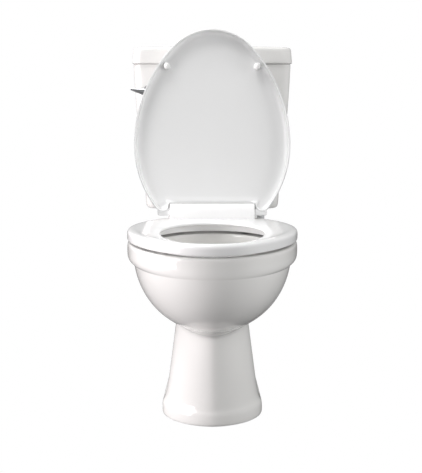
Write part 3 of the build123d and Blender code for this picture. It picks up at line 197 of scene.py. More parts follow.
# Acetal hinge plastic, moulded.
ACETAL = Finish("acetal_moulded", "#F5F5F4", "#EDEDEC", 0.24, 0.03, 30, 1.5, 0.01)
# Stainless steel rod, drawn: fine lines along its length.
STEEL = Finish(
    "stainless_rod_drawn", "#C9C9C7", "#AEAEAD", 0.26, 0.06, 8, 0.5, 0.006, 1.0, pattern=Pattern.DRAWN
)
# Brass casting, polished and chromium plated: a dark-and-white mirror.
CHROME = Finish("brass_chromium_plated", "#E9EAEC", "#DFE0E3", 0.05, 0.015, 40, 9, 0.004, 1.0)
# Brass bar, turned: faint tool rings.
BRASS = Finish("brass_turned", "#C8A763", "#B08F4E", 0.28, 0.05, 14, 0.6, 0.006, 1.0, pattern=Pattern.TURNED)
# Black nitrile rubber, moulded: matt with a dusty bloom.
RUBBER = Finish("nitrile_rubber_moulded", "#1D1D1E", "#2A2A2B", 0.62, 0.08, 9, 0.8, 0.02, ior=1.52)
# Nylon nuts, moulded: milky and satin.
NYLON = Finish("nylon_moulded", "#E6E4DD", "#DAD8D0", 0.38, 0.05, 12, 0.9, 0.012, ior=1.53)
# Polypropylene siphon, moulded: off white with a soft sheen.
SIPHON = Finish("polypropylene_moulded", "#E9E7E1", "#DEDCD6", 0.36, 0.05, 25, 1.4, 0.015, ior=1.49)
# ABS valve body, moulded: cool light grey.
VALVE = Finish("abs_moulded", "#DADCDD", "#CFD1D3", 0.3, 0.05, 18, 1.1, 0.012, ior=1.54)
# Blue polystyrene float, moulded.
FLOAT = Finish("polystyrene_blue_moulded", "#3E6EA8", "#34609A", 0.28, 0.04, 20, 1.6, 0.012, ior=1.59)


# ---------------------------------------------------------------- mesh
class Skin:
    """A skin grown ring by ring from one circle of spokes."""

    def __init__(self, spokes: int) -> None:
        """Starts with a bare circle whose vertices know their spoke."""
        self.mesh = bmesh.new()
        self.spokes = spokes
        self.layer = self.mesh.verts.layers.int.new("spoke")
        circle = bmesh.ops.create_circle(self.mesh, cap_ends=False, radius=1.0, segments=spokes)["verts"]
        for i, vert in enumerate(circle):
            vert[self.layer] = i
        self.verts = list(circle)
        self.edges = list(self.mesh.edges)
        self.rings = 0

    def ring(self, place: Place) -> None:
        """Extrudes the open end and moves each of its vertices to its place.

        Args:
            place: gives the position of a spoke number.
        """
        if self.rings:
            grown = bmesh.ops.extrude_edge_only(self.mesh, edges=self.edges)["geom"]
            self.verts = [g for g in grown if isinstance(g, bmesh.types.BMVert)]
            fresh = set(self.verts)
            self.edges = [e for e in {e for v in fresh for e in v.link_edges} if set(e.verts) <= fresh]
        self.rings += 1
        for vert in self.verts:
            vert.co = place(vert[self.layer])

    def cap(self) -> None:
        """Closes the open end with one face."""
        bmesh.ops.contextual_create(self.mesh, geom=self.edges)

    def grow(self, places: Sequence[Place], start_cap: bool = True, end_cap: bool = True) -> "Skin":
        """Grows a whole skin.

        Args:
            places: one placing function for each ring.
            start_cap: closes the first ring.
            end_cap: closes the last ring.

        Returns:
            The skin itself.
        """
        for place in places:
            self.ring(place)
            if start_cap and self.rings == 1:
                self.cap()
        if end_cap:
            self.cap()
        return self

    def loop(self, places: Sequence[Place]) -> "Skin":
        """Grows a skin whose last ring meets its first one, as round a tyre."""
        return self.grow([*places, places[0]], start_cap=False, end_cap=False)


def turned(
    spokes: int, rows: Sequence[Flat], point: Callable[[float, float, float], Vector]
) -> Skin:
    """Grows a turned shape.

    Args:
        spokes: spokes of each circle.
        rows: how far along its axis each circle lies, and its radius.
        point: turns the distance along and the two across, by cosine and by sine, into a place.

    Returns:
        The closed skin.
    """
    def circle(along: float, radius: float) -> Place:
        """Placing function of one circle."""
        def place(i: int) -> Vector:
            """Point of the circle."""
            turn = i / spokes * math.tau
            return point(along, radius * math.cos(turn), radius * math.sin(turn))
        return place

    return Skin(spokes).grow([circle(*row) for row in rows])


def finished(name: str, mesh: bmesh.types.BMesh, finish: Finish, levels: int = 2) -> bpy.types.Object:
    """Turns a mesh into a smooth object with its material.

    Args:
        name: the piece's name.
        mesh: the mesh, which is freed.
        finish: what it is made of.
        levels: how often it is subdivided.

    Returns:
        The new object, at the origin.
    """
    bmesh.ops.remove_doubles(mesh, verts=mesh.verts, dist=0.002 * MM)
    bmesh.ops.recalc_face_normals(mesh, faces=mesh.faces)
    for face in mesh.faces:
        face.smooth = True
    data = bpy.data.meshes.new(name)
    mesh.to_mesh(data)
    mesh.free()
    piece = bpy.data.objects.new(name, data)
    bpy.context.scene.collection.objects.link(piece)
    data.materials.append(finish.material())
    if levels:
        modifier = piece.modifiers.new("Smooth", "SUBSURF")
        modifier.levels = levels
        modifier.render_levels = levels
    return piece


def join_skins(skins: Sequence[Skin]) -> bmesh.types.BMesh:
    """Puts several skins in one mesh."""
    joined = bmesh.new()
    for skin in skins:
        part = bpy.data.meshes.new("part")
        skin.mesh.to_mesh(part)
        skin.mesh.free()
        joined.from_mesh(part)
        bpy.data.meshes.remove(part)
    return joined


def place_piece(piece: bpy.types.Object, body: str, slot: str, *nodes: str) -> None:
    """Hangs a piece on its body, hides the CAD nodes that it stands for and logs them."""
    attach(piece, body)
    if nodes:
        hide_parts(*nodes)
    log.info("%s on %s for %s", piece.name, body, ", ".join(nodes) or "detail")


# ---------------------------------------------------------------- pan
@dataclass(frozen=True)
class Section:
    """One ring round the pan, in millimetres: heights, then how far it reaches ahead of the hinge."""

    nose_z: float
    side_z: float
    rear_z: float
    nose: float
    widest: float
    half: float
    waist: float
    waist_half: float
    tail: float
    tail_half: float
    corner: float = 14.0
    lift: float = 0.0
    prow: float = 1.0


@dataclass
class Pan:
    """Glazed pan: bowl with its rim band, pedestal, foot, web, deck and shelf."""

    nose_spokes: int = 11
    shoulder_spokes: int = 7
    side_spokes: int = 6
    tail_spokes: int = 8
    shelf_rise: float = 24.0
    step_from: float = -60.0
    step_to: float = -78.0
    bowl_top: float = 370.0
    bowl_depth: float = 165.0
    bowl_centre: float = 190.0
    bowl_reach: float = 233.0
    bowl_half: float = 170.0
    china: float = 12.0
    spigot_radius: float = 51.0
    spigot_bore: float = 39.0
    spigot_z: float = 185.0
    spigot_end: float = -205.0
    spigot_start: float = -112.0

    @property
    def half_spokes(self) -> int:
        """Spokes from the nose to the middle of the tail."""
        return self.nose_spokes + self.shoulder_spokes + self.side_spokes + self.tail_spokes

    def step(self, forward: float) -> float:
        """Share of the shelf's rise at a distance ahead of the hinge."""
        return smooth((self.step_from - forward) / (self.step_from - self.step_to))

    def section(self, s: Section) -> Place:
        """Placing function of one outer ring."""
        nose, shoulder = self.nose_spokes, self.shoulder_spokes
        side, tail = self.side_spokes, self.tail_spokes
        corner_spokes = tail // 2

        def half_point(i: int) -> tuple[float, float, float]:
            """Right half: sideways, ahead and height of a spoke."""
            if i <= nose:
                turn = i / nose * math.pi / 2
                x = s.half * math.sin(turn) ** s.prow
                forward = mix(s.widest, s.nose, math.cos(turn) ** s.prow)
                return x, forward, mix(s.nose_z, s.side_z, math.sin(turn) ** 2)
            i -= nose
            if i <= shoulder:
                u = i / shoulder
                x = mix(s.half, s.waist_half, smooth(u ** 1.25))
                return x, mix(s.widest, s.waist, u), mix(s.side_z, s.rear_z, smooth(u))
            i -= shoulder
            if i <= side:
                u = i / side
                return mix(s.waist_half, s.tail_half, u), mix(s.waist, s.tail + s.corner, u), s.rear_z
            i -= side
            if i <= corner_spokes:
                turn = i / corner_spokes * math.pi / 2
                x = s.tail_half - s.corner * (1 - math.cos(turn))
                return x, s.tail + s.corner * (1 - math.sin(turn)), s.rear_z
            u = (i - corner_spokes) / (tail - corner_spokes)
            return (s.tail_half - s.corner) * (1 - u), s.tail, s.rear_z

        def place(i: int) -> Vector:
            """Both halves, with the shelf's rise."""
            count = self.half_spokes
            sign = 1 if i <= count else -1
            x, forward, height = half_point(i if i <= count else 2 * count - i)
            return ahead(sign * x, forward, height + s.lift * self.shelf_rise * self.step(forward))

        return place

    def egg(self, front: float, rear: float, centre: float, half: float, height: float) -> Place:
        """Placing function of a level ring of two half ellipses."""
        def place(i: int) -> Vector:
            """Nose spokes go to the widest line, and the rest go round the rear."""
            count = self.half_spokes
            sign = 1 if i <= count else -1
            i = i if i <= count else 2 * count - i
            if i <= self.nose_spokes:
                turn = i / self.nose_spokes * math.pi / 2
            else:
                turn = math.pi / 2 * (1 + (i - self.nose_spokes) / (count - self.nose_spokes))
            reach = front - centre if turn <= math.pi / 2 else centre - rear
            return ahead(sign * half * math.sin(turn), centre + reach * math.cos(turn), height)
        return place

    def foot(self) -> list[Place]:
        """Hollow underside and the flange of the foot."""
        rows = [
            Section(104, 104, 104, 200, 130, 74, 50, 64, -106, 53),
            Section(100, 100, 100, 209, 130, 83, 50, 72, -112, 60),
            Section(60, 60, 60, 220, 130, 93, 50, 81, -116, 62),
            Section(6, 6, 6, 227, 130, 100, 50, 88, -118, 63),
            Section(1, 1, 1, 228, 130, 101, 50, 89, -118.5, 63.5),
            Section(0, 0, 0, 230, 130, 103.5, 50, 93, -120.5, 70),
            Section(0, 0, 0, 236, 130, 109, 50, 107.5, -126, 103, prow=1.08),
            Section(1, 1, 1, 238.5, 130, 111.5, 50, 110, -128.5, 105, prow=1.12),
            Section(5, 5, 5, 240, 130, 113, 50, 111.5, -130, 106.5, prow=1.14),
            Section(15, 15, 15, 240, 130, 113, 50, 111.5, -130, 106.5, prow=1.16),
            Section(23, 23, 23, 239.6, 130, 112.7, 50, 111.2, -129.7, 106.2, prow=1.18),
            Section(27.5, 27.5, 26, 238.8, 130, 111.6, 50, 109.6, -129, 105, prow=1.2),
            Section(30.5, 30.5, 28, 237.8, 130, 110, 50, 106, -127, 101, prow=1.2),
            Section(34, 34, 28.6, 236.9, 130, 107.9, 50, 99, -127.5, 80, prow=1.22),
        ]
        return [self.section(row) for row in rows]

    def pedestal(self) -> list[Place]:
        """Tapered column from the foot to the neck, with a soft upright ridge at its nose."""
        rows = []
        for height, half, nose, waist_half in (
            (40, 105.6, 236.2, 96),
            (50, 103, 235.7, 93.8),
            (66, 100.2, 235, 91.6),
            (92, 96.4, 233.9, 89.6),
            (125, 92, 232.6, 86.8),
            (160, 87.5, 231, 83.8),
            (183, 84.4, 229.8, 81),
        ):
            rows.append(Section(height, height, height, nose, 130, half, 50, waist_half, -130, 75, prow=1.24))
        return [self.section(row) for row in rows]

    def bowl(self) -> list[Place]:
        """Neck corner and the round outside of the bowl."""
        rows = [
            Section(191, 204, 212, 229.3, 130, 81.9, 46, 77, -131, 73, prow=1.2),
            Section(196, 215, 226, 230.2, 134, 80.8, 42, 74, -134, 70, prow=1.15),
            Section(199.5, 220.5, 236, 233, 142, 81.4, 38, 71.5, -138, 68, prow=1.1),
            Section(203, 224.5, 246, 241, 154, 85, 34, 69, -142, 65, prow=1.05),
        ]
        for height, side_z, rear_z, waist_half, tail, tail_half in (
            (210, 229, 256, 66, -146, 63),
            (224, 239, 268, 62, -151, 60),
            (244, 255, 282, 58, -156, 57),
            (268, 275, 298, 55, -162, 54),
            (298, 301, 318, 53, -174, 53),
            (328, 329, 338, 52, -189, 52),
            (347, 347, 352, 52.5, -199, 52.5),
        ):
            share = math.sqrt(1 - ((self.bowl_top - height) / self.bowl_depth) ** 2)
            side_share = math.sqrt(1 - ((self.bowl_top - side_z) / self.bowl_depth) ** 2)
            nose = self.bowl_centre + self.bowl_reach * share
            widest = mix(self.bowl_centre - 25, self.bowl_centre - 12, share)
            rows.append(
                Section(height, side_z, rear_z, nose, widest, self.bowl_half * side_share,
                        28, waist_half, tail, tail_half)
            )
        return [self.section(row) for row in rows]

    def band(self) -> list[Place]:
        """Rim band at the front and sides, shelf edge behind."""
        rows = [
            Section(353.5, 353.5, 362, 422.6, 172, 170.0, 27, 53.5, -206, 53.5),
            Section(356.3, 356.3, 372, 423.0, 168, 171.4, 26, 57, -214, 57),
            Section(357.6, 357.4, 380, 423.6, 164, 174.6, 22, 66, -222, 66, 16),
            Section(359.6, 359.2, 385, 424.3, 161, 178.4, 16, 84, -230, 82, 18),
            Section(363.0, 362.6, 386.5, 425.1, 159, 182.0, 12, 106, -236, 93, 18),
            Section(368.0, 367.5, 389, 425.7, 158, 184.5, 12, 115, -238.4, 96.8, 18),
            Section(375.0, 375.0, 393, 426, 158, 185.5, 12, 118, -239.2, 98, 18, 0.15),
            Section(388.0, 388.0, 395.5, 426, 158, 185.5, 12, 118, -239.2, 98, 18, 0.6),
            Section(394.5, 394.5, 396.5, 425.6, 158, 185.0, 12, 117.6, -239, 97.8, 18, 0.95),
            Section(398.4, 398.4, 398.8, 424.0, 158, 183.3, 12, 115.8, -237.4, 96.2, 17, 1),
            Section(400, 400, 400, 420.5, 158, 179.5, 12, 112.5, -234, 93, 16, 1),
        ]
        return [self.section(row) for row in rows]

    def top(self) -> list[Place]:
        """Shelf top, the step down to the deck, and the rim round the opening."""
        rows = []
        for nose, half, waist, waist_half, tail, tail_half in (
            (414, 172, 12, 107, -226, 86),
            (408, 166, 14, 101, -150, 82),
            (405, 162, 16, 98, -84, 80),
            (403, 160, 17, 96, -75, 79),
            (401, 158, 18, 94, -66, 78),
            (399, 155, 20, 92, -56, 77),
            (393, 147, 26, 90, -20, 76),
        ):
            rows.append(Section(400, 400, 400, nose, 160, half, waist, waist_half, tail, tail_half, 14, 1))
        rings = [self.section(row) for row in rows]
        for front, rear, centre, half, height in (
            (381, 57, 199, 127, 400),
            (376, 63, 200, 121.5, 399.5),
            (374.2, 64.8, 200, 119.7, 397),
            (374, 65, 200, 119.5, 390),
            (374, 65, 200, 119.5, 374),
            (376, 63, 200, 121.5, 368),
            (384, 55, 197, 130, 364.5),
            (398, 42, 193, 149, 361),
            (405, 35, 190, 157, 352),
        ):
            rings.append(self.egg(front, rear, centre, half, height))
        return rings

    def inside(self) -> list[Place]:
        """Bowl's inside and the sump, down to the water seal's floor."""
        rings = []
        depth = self.bowl_depth - self.china
        for height in (330, 300, 272, 254):
            share = math.sqrt(1 - ((self.bowl_top - height) / depth) ** 2)
            front = self.bowl_centre + (self.bowl_reach - self.china - 6) * share
            rear = 34 + (357 - height) * 0.25
            half = (self.bowl_half - self.china) * share
            rings.append(self.egg(front, rear, self.bowl_centre, half, height))
        for front, rear, half, height in (
            (290, 64, 84, 244),
            (262, 66, 71, 237),
            (228, 66, 60, 222),
            (196, 66, 50, 200),
            (166, 68, 42, 172),
            (156, 71, 38, 158),
            (146, 80, 30, 152.5),
            (132, 92, 18, 152),
        ):
            rings.append(self.egg(front, rear, mix(rear, front, 0.5), half, height))
        return rings

    def spigot(self) -> Skin:
        """Waste outlet, a thick walled tube out of the back of the web."""
        rows = (
            (self.spigot_start, 58), (-128, 58), (-134, 55), (-140, 52.5), (-148, self.spigot_radius),
            (-196, self.spigot_radius), (-202, self.spigot_radius), (-204.4, 49.8), (self.spigot_end, 47.5),
            (self.spigot_end, 42), (-204, self.spigot_bore + 1), (-200, self.spigot_bore),
            (-150, self.spigot_bore), (self.spigot_start - 2, self.spigot_bore),
        )

        return turned(48, rows, lambda forward, up, right: ahead(right, forward, self.spigot_z + up))

    def build(self) -> None:
        """Makes the pan in one piece."""
        rings = self.foot() + self.pedestal() + self.bowl() + self.band() + self.top() + self.inside()
        body = Skin(2 * self.half_spokes).grow(rings)
        piece = finished("pan_glazed", join_skins([body, self.spigot()]), CHINA)
        place_piece(piece, "base", "ceramic", "pan")


# ---------------------------------------------------------------- seat
@dataclass
class SeatOutline:
    """Outline of nose, side and rear arcs, cut square at the tail, in millimetres."""

    length: float
    width: float
    tail: float
    widest: float = 158.0
    nose_radius: float = 125.0
    rear_radius: float = 246.0

    @property
    def side_share(self) -> float:
        """Share of the half outline that its three arcs take."""
        half = self.width / 2
        low, high = 0.5, 1.0
        for _ in range(30):
            share = (low + high) / 2
            on_tail = self.point(share)[1] <= self.tail + 1e-6 and self.point(share)[0] < half
            low, high = (low, share) if on_tail else (share, high)
        return low

    def point(self, share: float, inset: float = 0.0) -> Flat:
        """Point of the right half outline.

        Args:
            share: 0 at the nose to 1 at the middle of the tail, by length.
            inset: how far inside the outline.

        Returns:
            Sideways and ahead.
        """
        half = self.width / 2
        reach = self.length - self.widest
        side_radius = (half**2 + reach**2 - 2 * reach * self.nose_radius) / (2 * (half - self.nose_radius))
        turn = math.atan2(reach - self.nose_radius, side_radius - half)
        dip = math.asin((self.widest - self.tail) / self.rear_radius)
        tail_x = half - self.rear_radius * (1 - math.cos(dip))
        lengths = (
            self.nose_radius * (math.pi / 2 - turn), side_radius * turn, self.rear_radius * dip, tail_x
        )
        run = share * sum(lengths)
        if run <= lengths[0]:
            angle = math.pi / 2 - run / self.nose_radius
            radius = self.nose_radius - inset
            return radius * math.cos(angle), self.length - self.nose_radius + radius * math.sin(angle)
        run -= lengths[0]
        if run <= lengths[1]:
            angle = turn - run / side_radius
            radius = side_radius - inset
            return half - side_radius + radius * math.cos(angle), self.widest + radius * math.sin(angle)
        run -= lengths[1]
        if run <= lengths[2]:
            angle = -run / self.rear_radius
            radius = self.rear_radius - inset
            x = half - self.rear_radius + radius * math.cos(angle)
            return x, max(self.tail + inset, self.widest + radius * math.sin(angle))
        run -= lengths[2]
        tail_inner = half - self.rear_radius + (self.rear_radius - inset) * math.cos(dip)
        return max(0.0, tail_inner * (1 - run / lengths[3])), self.tail + inset


def both_halves(spokes: int, half_point: Callable[[float], Flat]) -> Callable[[int], Flat]:
    """Mirrors a right half outline to a full ring of spokes.

    Args:
        spokes: how many spokes the ring has.
        half_point: gives sideways and ahead for a share of the half outline.

    Returns:
        A function from spoke number to sideways and ahead.
    """
    def point(i: int) -> Flat:
        """Point of the full outline."""
        half = spokes // 2
        if i <= half:
            return half_point(i / half)
        x, forward = half_point((spokes - i) / half)
        return -x, forward
    return point


@dataclass
class SeatRing:
    """Moulded ring with its hinge bar."""

    spokes: int = 96
    length: float = 430.0
    width: float = 371.0
    tail: float = -10.8
    hole_front: float = 366.0
    hole_rear: float = 73.0
    hole_centre: float = 200.0
    hole_half: float = 111.5
    underside: float = -38.5
    thick: float = 24.5
    front_dip: float = 8.0
    bar_half: float = 99.0
    slot_centre: float = 77.5
    slot_half: float = 10.6

    def hole(self, share: float, grow: float) -> Flat:
        """Right half of the hole's outline, grown by an offset."""
        turn = share * math.pi
        ahead_of_middle = turn <= math.pi / 2
        reach = abs((self.hole_front if ahead_of_middle else self.hole_rear) - self.hole_centre)
        return (self.hole_half + grow) * math.sin(turn), self.hole_centre + (reach + grow) * math.cos(turn)

    def ring_at(self, inset: float, toward: float, height: float) -> Place:
        """Placing function of a ring between the outline and the hole.

        Args:
            inset: millimetres in from the outline, or out from the hole.
            toward: 0 on the outline to 1 on the hole.
            height: above the ring's underside.
        """
        outline = SeatOutline(self.length, self.width, self.tail)

        def half_point(share: float) -> Flat:
            """Blend of the two outlines."""
            outer = outline.point(share, inset if toward < 0.5 else 0)
            inner = self.hole(share, inset if toward > 0.5 else 0)
            return mix(outer[0], inner[0], toward), mix(outer[1], inner[1], toward)

        flat = both_halves(self.spokes, half_point)
        level = Axis.z / MM + self.underside + height
        dip = self.front_dip * toward * min(1.0, height / 16)
        return lambda i: ahead(*flat(i), level - dip * (0.5 + 0.5 * math.cos(i / self.spokes * math.tau)))

    def ring(self) -> Skin:
        """Ring with an upright edge, a crowned top and an undercut lip round the hole."""
        top = self.thick
        outer = (  # in from the outline, and height
            (7, 1.4), (5.5, 1.0), (4.0, 0.6), (1.4, 1.0), (0.3, 2.4), (0, 5.5), (0, 12), (0.2, 15.5),
            (1.0, 18.4), (2.8, 20.8), (5.6, 22.4), (10, 23.4), (16, 24.0),
        )
        inner = (  # out from the hole, and height
            (17, top), (10, 24.4), (5, 23.8), (2, 22.6), (0.5, 20.8), (0, 19), (0.5, 17.4), (2, 16.6),
            (6, 16.4), (13, 16.4), (14.5, 15), (15, 3), (16.5, 1.2), (20, 1.2),
        )
        rings = [self.ring_at(inset, 0, height) for inset, height in outer]
        rings.append(self.ring_at(0, 0.42, top))
        rings += [self.ring_at(inset, 1, height) for inset, height in inner]
        rings.append(self.ring_at(0, 0.5, 1.2))
        return Skin(self.spokes).loop(rings)

    def bar_profile(self, slotted: bool) -> list[Flat]:
        """Outline of the hinge bar from the side, ahead and above the axis, full or cut away for a post."""
        shared = (
            (17.6, -30), (18.2, -18), (18.2, -4), (17.6, 6), (15.4, 13), (10.5, 17.6), (4, 19.6), (-3, 19.4),
            (-9, 17.6),
        )
        if slotted:
            return [
                *shared, (-13.6, 14.4), (-14.2, 13), (-12, 12.7), (-4, 12.7), (3, 12.7), (9.4, 12.5),
                (9.7, 6), (9.7, -6), (9.7, -18), (9.8, -28), (11, -30.4), (13, -31), (16, -31),
            ]
        return [
            *shared, (-14.2, 13.4), (-18, 7), (-19.4, 0), (-18.6, -6), (-16, -11), (-12, -15), (-7, -18),
            (-2, -20), (2, -24), (5, -28), (8, -30.4), (11, -31), (16, -31),
        ]

    def bar(self) -> Skin:
        """Hinge bar grown from left to right, cut away where the posts stand."""
        full, cut = self.bar_profile(False), self.bar_profile(True)
        centre_z = Axis.z / MM
        edge_in, edge_out = self.slot_centre - self.slot_half, self.slot_centre + self.slot_half

        def side(x: float, profile: list[Flat], inset: float = 0.0) -> Place:
            """Placing function of one upright profile, drawn in towards its middle by an inset."""
            def place(i: int) -> Vector:
                """Point of the profile."""
                forward, up = profile[i]
                size = math.hypot(forward, up + 4)
                keep = (size - inset) / size
                return ahead(x, forward * keep, centre_z - 4 + (up + 4) * keep)
            return place

        half = self.bar_half
        rows = (
            (edge_in - 1.2, full, 0), (edge_in - 0.2, full, 0.3), (edge_in, cut, 0), (edge_in + 0.8, cut, 0),
            (edge_out - 0.8, cut, 0), (edge_out, cut, 0), (edge_out + 0.2, full, 0.3),
            (edge_out + 1.2, full, 0), (half - 2.4, full, 0), (half - 0.9, full, 0.4), (half - 0.1, full, 1.6),
            (half, full, 4),
        )
        left = [side(-x, profile, inset) for x, profile, inset in reversed(rows)]
        middle = [side(x, full) for x in (-40, 0, 40)]
        right = [side(*row) for row in rows]
        return Skin(len(full)).grow([*left, *middle, *right])

    def build(self) -> None:
        """Makes the ring and its bar."""
        piece = finished("seat_ring_moulded", join_skins([self.ring(), self.bar()]), SEAT)
        place_piece(piece, "ring", "seat_plastic", "seat_ring")


@dataclass
class SeatLid:
    """Dished lid, raised against the cistern, with its ears and barrels."""

    spokes: int = 96
    length: float = 428.0
    width: float = 365.0
    cut_back: float = 20.0
    ear_end: float = 1.0
    ear_inside: float = 99.7
    egg_share: float = 0.8125
    skirt: float = 11.5
    back: float = 13.5
    wall: float = 4.0
    lean: float = 8.8
    barrel_start: float = 99.6
    barrel_length: float = 28.0
    barrel_radius: float = 8.5

    def stand(self, x: float, up: float, out: float) -> Vector:
        """Place on the raised lid: right, up from the hinge along the lid, and out to its rear face."""
        lean = math.radians(self.lean)
        rise = up * math.cos(lean) - out * math.sin(lean)
        behind = up * math.sin(lean) + out * math.cos(lean)
        return ahead(x, -behind, Axis.z / MM + rise)

    def outline(self, share: float, inset: float) -> Flat:
        """Right half of the lid's outline: an egg with an ear beside the hinge bar.

        Args:
            share: 0 at the nose to 1 at the middle of the tail.
            inset: how far inside the outline.

        Returns:
            Sideways and up the lid.
        """
        egg = SeatOutline(self.length, self.width, self.ear_end)
        step = self.cut_back + inset
        foot = mix(self.ear_end + inset, step, smooth((inset - 4) / 9))
        if share <= self.egg_share:
            x, up = egg.point(share / self.egg_share * egg.side_share, inset)
            return x, max(up, foot)
        outer = egg.point(egg.side_share, inset)[0]
        inner = min(self.ear_inside + inset, outer - 0.5)
        rest = (share - self.egg_share) / (1 - self.egg_share)
        notch = min(2.0, (step - foot) / 3)
        path = ((outer, foot), (inner + notch / 2, foot), (inner, foot + notch), (inner, step - notch),
                (inner - notch, step), (0.0, step))
        lengths = (0.16, 0.05, 0.12, 0.07, 0.6)
        for (x0, up0), (x1, up1), length in zip(path, path[1:], lengths):
            if rest <= length + 1e-9:
                return mix(x0, x1, rest / length), mix(up0, up1, rest / length)
            rest -= length
        return path[-1]

    def tail_share(self, x: float, up: float) -> float:
        """How far a point lies in the plain strip over the hinge bar, 0 to 1."""
        return smooth((self.cut_back + 12 - up) / 10) * smooth((self.ear_inside + 4 - abs(x)) / 6)

    def ring_at(self, inset: float, shrink: float, out: float) -> Place:
        """Placing function of a ring round the dish.

        Args:
            inset: millimetres inside the outline.
            shrink: share drawn in to the middle after that.
            out: towards the outer face, from the hinge axis.
        """
        flat = both_halves(self.spokes, lambda share: self.outline(share, inset))
        middle = 205.0
        plate = self.back - self.wall

        def place(i: int) -> Vector:
            """Point of the ring, with no skirt over the hinge bar."""
            x, up = flat(i)
            x, up = x * (1 - shrink), mix(up, middle, shrink)
            level = mix(out, max(out, plate), self.tail_share(x, up))
            return self.stand(x, up, level)
        return place

    def dish(self) -> Skin:
        """Crowned back, thin turned edge and dished inner face."""
        inner = self.back - self.wall
        skirt = -self.skirt
        back = self.back
        outer = (  # inside the outline, and out from the axis
            (20, back - 1.3), (10, back - 2.6), (5, back - 4.4), (2, back - 7.6), (0.6, back - 12), (0, 0),
            (0, -6), (0.1, skirt + 2.2), (0.8, skirt + 0.5), (2.2, skirt),
        )
        inside = (
            (3.6, skirt + 0.6), (4.3, skirt + 2.4), (4.7, -6), (5.6, 0), (7.4, 4.2), (10.6, 7.4), (15, 9.0),
            (20, inner),
        )
        crown = ((0.74, back), (0.48, back - 0.1), (0.22, back - 0.5))
        rings = [self.ring_at(20, shrink, out) for shrink, out in crown]
        rings += [self.ring_at(inset, 0, out) for inset, out in outer + inside]
        rings += [self.ring_at(20, shrink, inner) for shrink in (0.22, 0.48, 0.74)]
        return Skin(self.spokes).grow(rings)

    def barrel(self, side: int) -> Skin:
        """Round knuckle on the pin."""
        start, end, radius = self.barrel_start, self.barrel_start + self.barrel_length, self.barrel_radius
        rows = (
            (start, 6.5), (start + 0.1, 7.6), (start + 0.9, radius), (start + 3, radius), (end - 6, radius),
            (end - 2.4, radius - 0.3), (end - 0.6, 6.8), (end, 4.5),
        )
        return turned(32, rows, lambda x, forward, up: ahead(side * x, forward, Axis.z / MM + up))

    def build(self) -> None:
        """Makes the lid with both barrels."""
        skins = [self.dish(), *(self.barrel(side) for side in (-1, 1))]
        piece = finished("seat_lid_moulded", join_skins(skins), SEAT)
        place_piece(piece, "lid", "seat_plastic", "seat_lid")


@dataclass
class Buffers:
    """Soft buffers, domed pegs under the lid and low pads under the ring."""

    radius: float = 8.0
    lid_centres: float = 212.0
    lid_up: float = 342.0
    lid_base: float = 9.6
    lid_tip: float = -13.7
    ring_spots: tuple = ((97.0, 345.0), (130.0, 75.0))
    ring_underside: float = -38.5
    ring_recess: float = 2.0
    ring_height: float = 3.2

    def peg(self, lid: SeatLid, side: int) -> Skin:
        """Peg on the raised lid's inner face."""
        run = self.lid_base - self.lid_tip
        rows = (
            (0, 7.9), (0.3, self.radius), (1.6, self.radius), (3, 7.6), (run - 7, 7.2), (run - 4, 6.6),
            (run - 1.8, 5.2), (run - 0.5, 3.0), (run, 1.0),
        )
        middle, base = side * self.lid_centres / 2, self.lid_base
        return turned(24, rows, lambda reach, x, up: lid.stand(middle + x, self.lid_up + up, base - reach))

    def pad(self, x: float, forward: float) -> Skin:
        """Pad under the ring."""
        base = Axis.z / MM + self.ring_underside
        rows = (
            (self.ring_recess, 7.0), (0, 7.4), (-0.4, self.radius), (-1.8, self.radius), (-2.7, 7.5),
            (-self.ring_height, 6), (-self.ring_height, 3),
        )
        return turned(24, rows, lambda rise, right, on: ahead(x + right, forward + on, base + rise))

    def build(self, lid: SeatLid) -> None:
        """Makes both sets of buffers."""
        pegs = finished("lid_buffers_domed", join_skins([self.peg(lid, side) for side in (-1, 1)]), BUFFER, 1)
        place_piece(pegs, "lid", "buffer_plastic", "lid_buffers")
        spots = [(side * x, forward) for x, forward in self.ring_spots for side in (-1, 1)]
        pads = finished("ring_buffers_domed", join_skins([self.pad(*spot) for spot in spots]), BUFFER, 1)
        place_piece(pads, "ring", "buffer_plastic", "ring_buffers")


# ---------------------------------------------------------------- cistern
def rounded_box(
    half_width: float, front: float, rear: float, corner: float, height: float, drop: float = 0.0
) -> Place:
    """Placing function of a level rounded rectangle of 64 spokes, in millimetres.

    Args:
        half_width: half its width.
        front: its front, as Y in the frame.
        rear: its rear, as Y in the frame.
        corner: radius of its corners.
        height: above the floor.
        drop: how much lower its corners lie.
    """
    half_depth = (rear - front) / 2
    middle = (rear + front) / 2

    def quarter(j: int) -> Flat:
        """Right and back from the middle, for spokes 0 to 16 from the rear's middle to the side's."""
        if j <= 5:
            return (half_width - corner) * j / 5, half_depth
        if j <= 11:
            turn = (j - 5) / 6 * math.pi / 2
            return half_width - corner * (1 - math.sin(turn)), half_depth - corner * (1 - math.cos(turn))
        return half_width, (half_depth - corner) * (16 - j) / 5

    def place(i: int) -> Vector:
        """Point of the full outline."""
        part, j = divmod(i, 16)
        x, y = quarter(j if part % 2 == 0 else 16 - j)
        x = x if part < 2 else -x
        y = y if part in (0, 3) else -y
        low = drop * abs(x / half_width) ** 3
        return Vector((x * MM, (middle + y) * MM, (height - low) * MM))

    return place


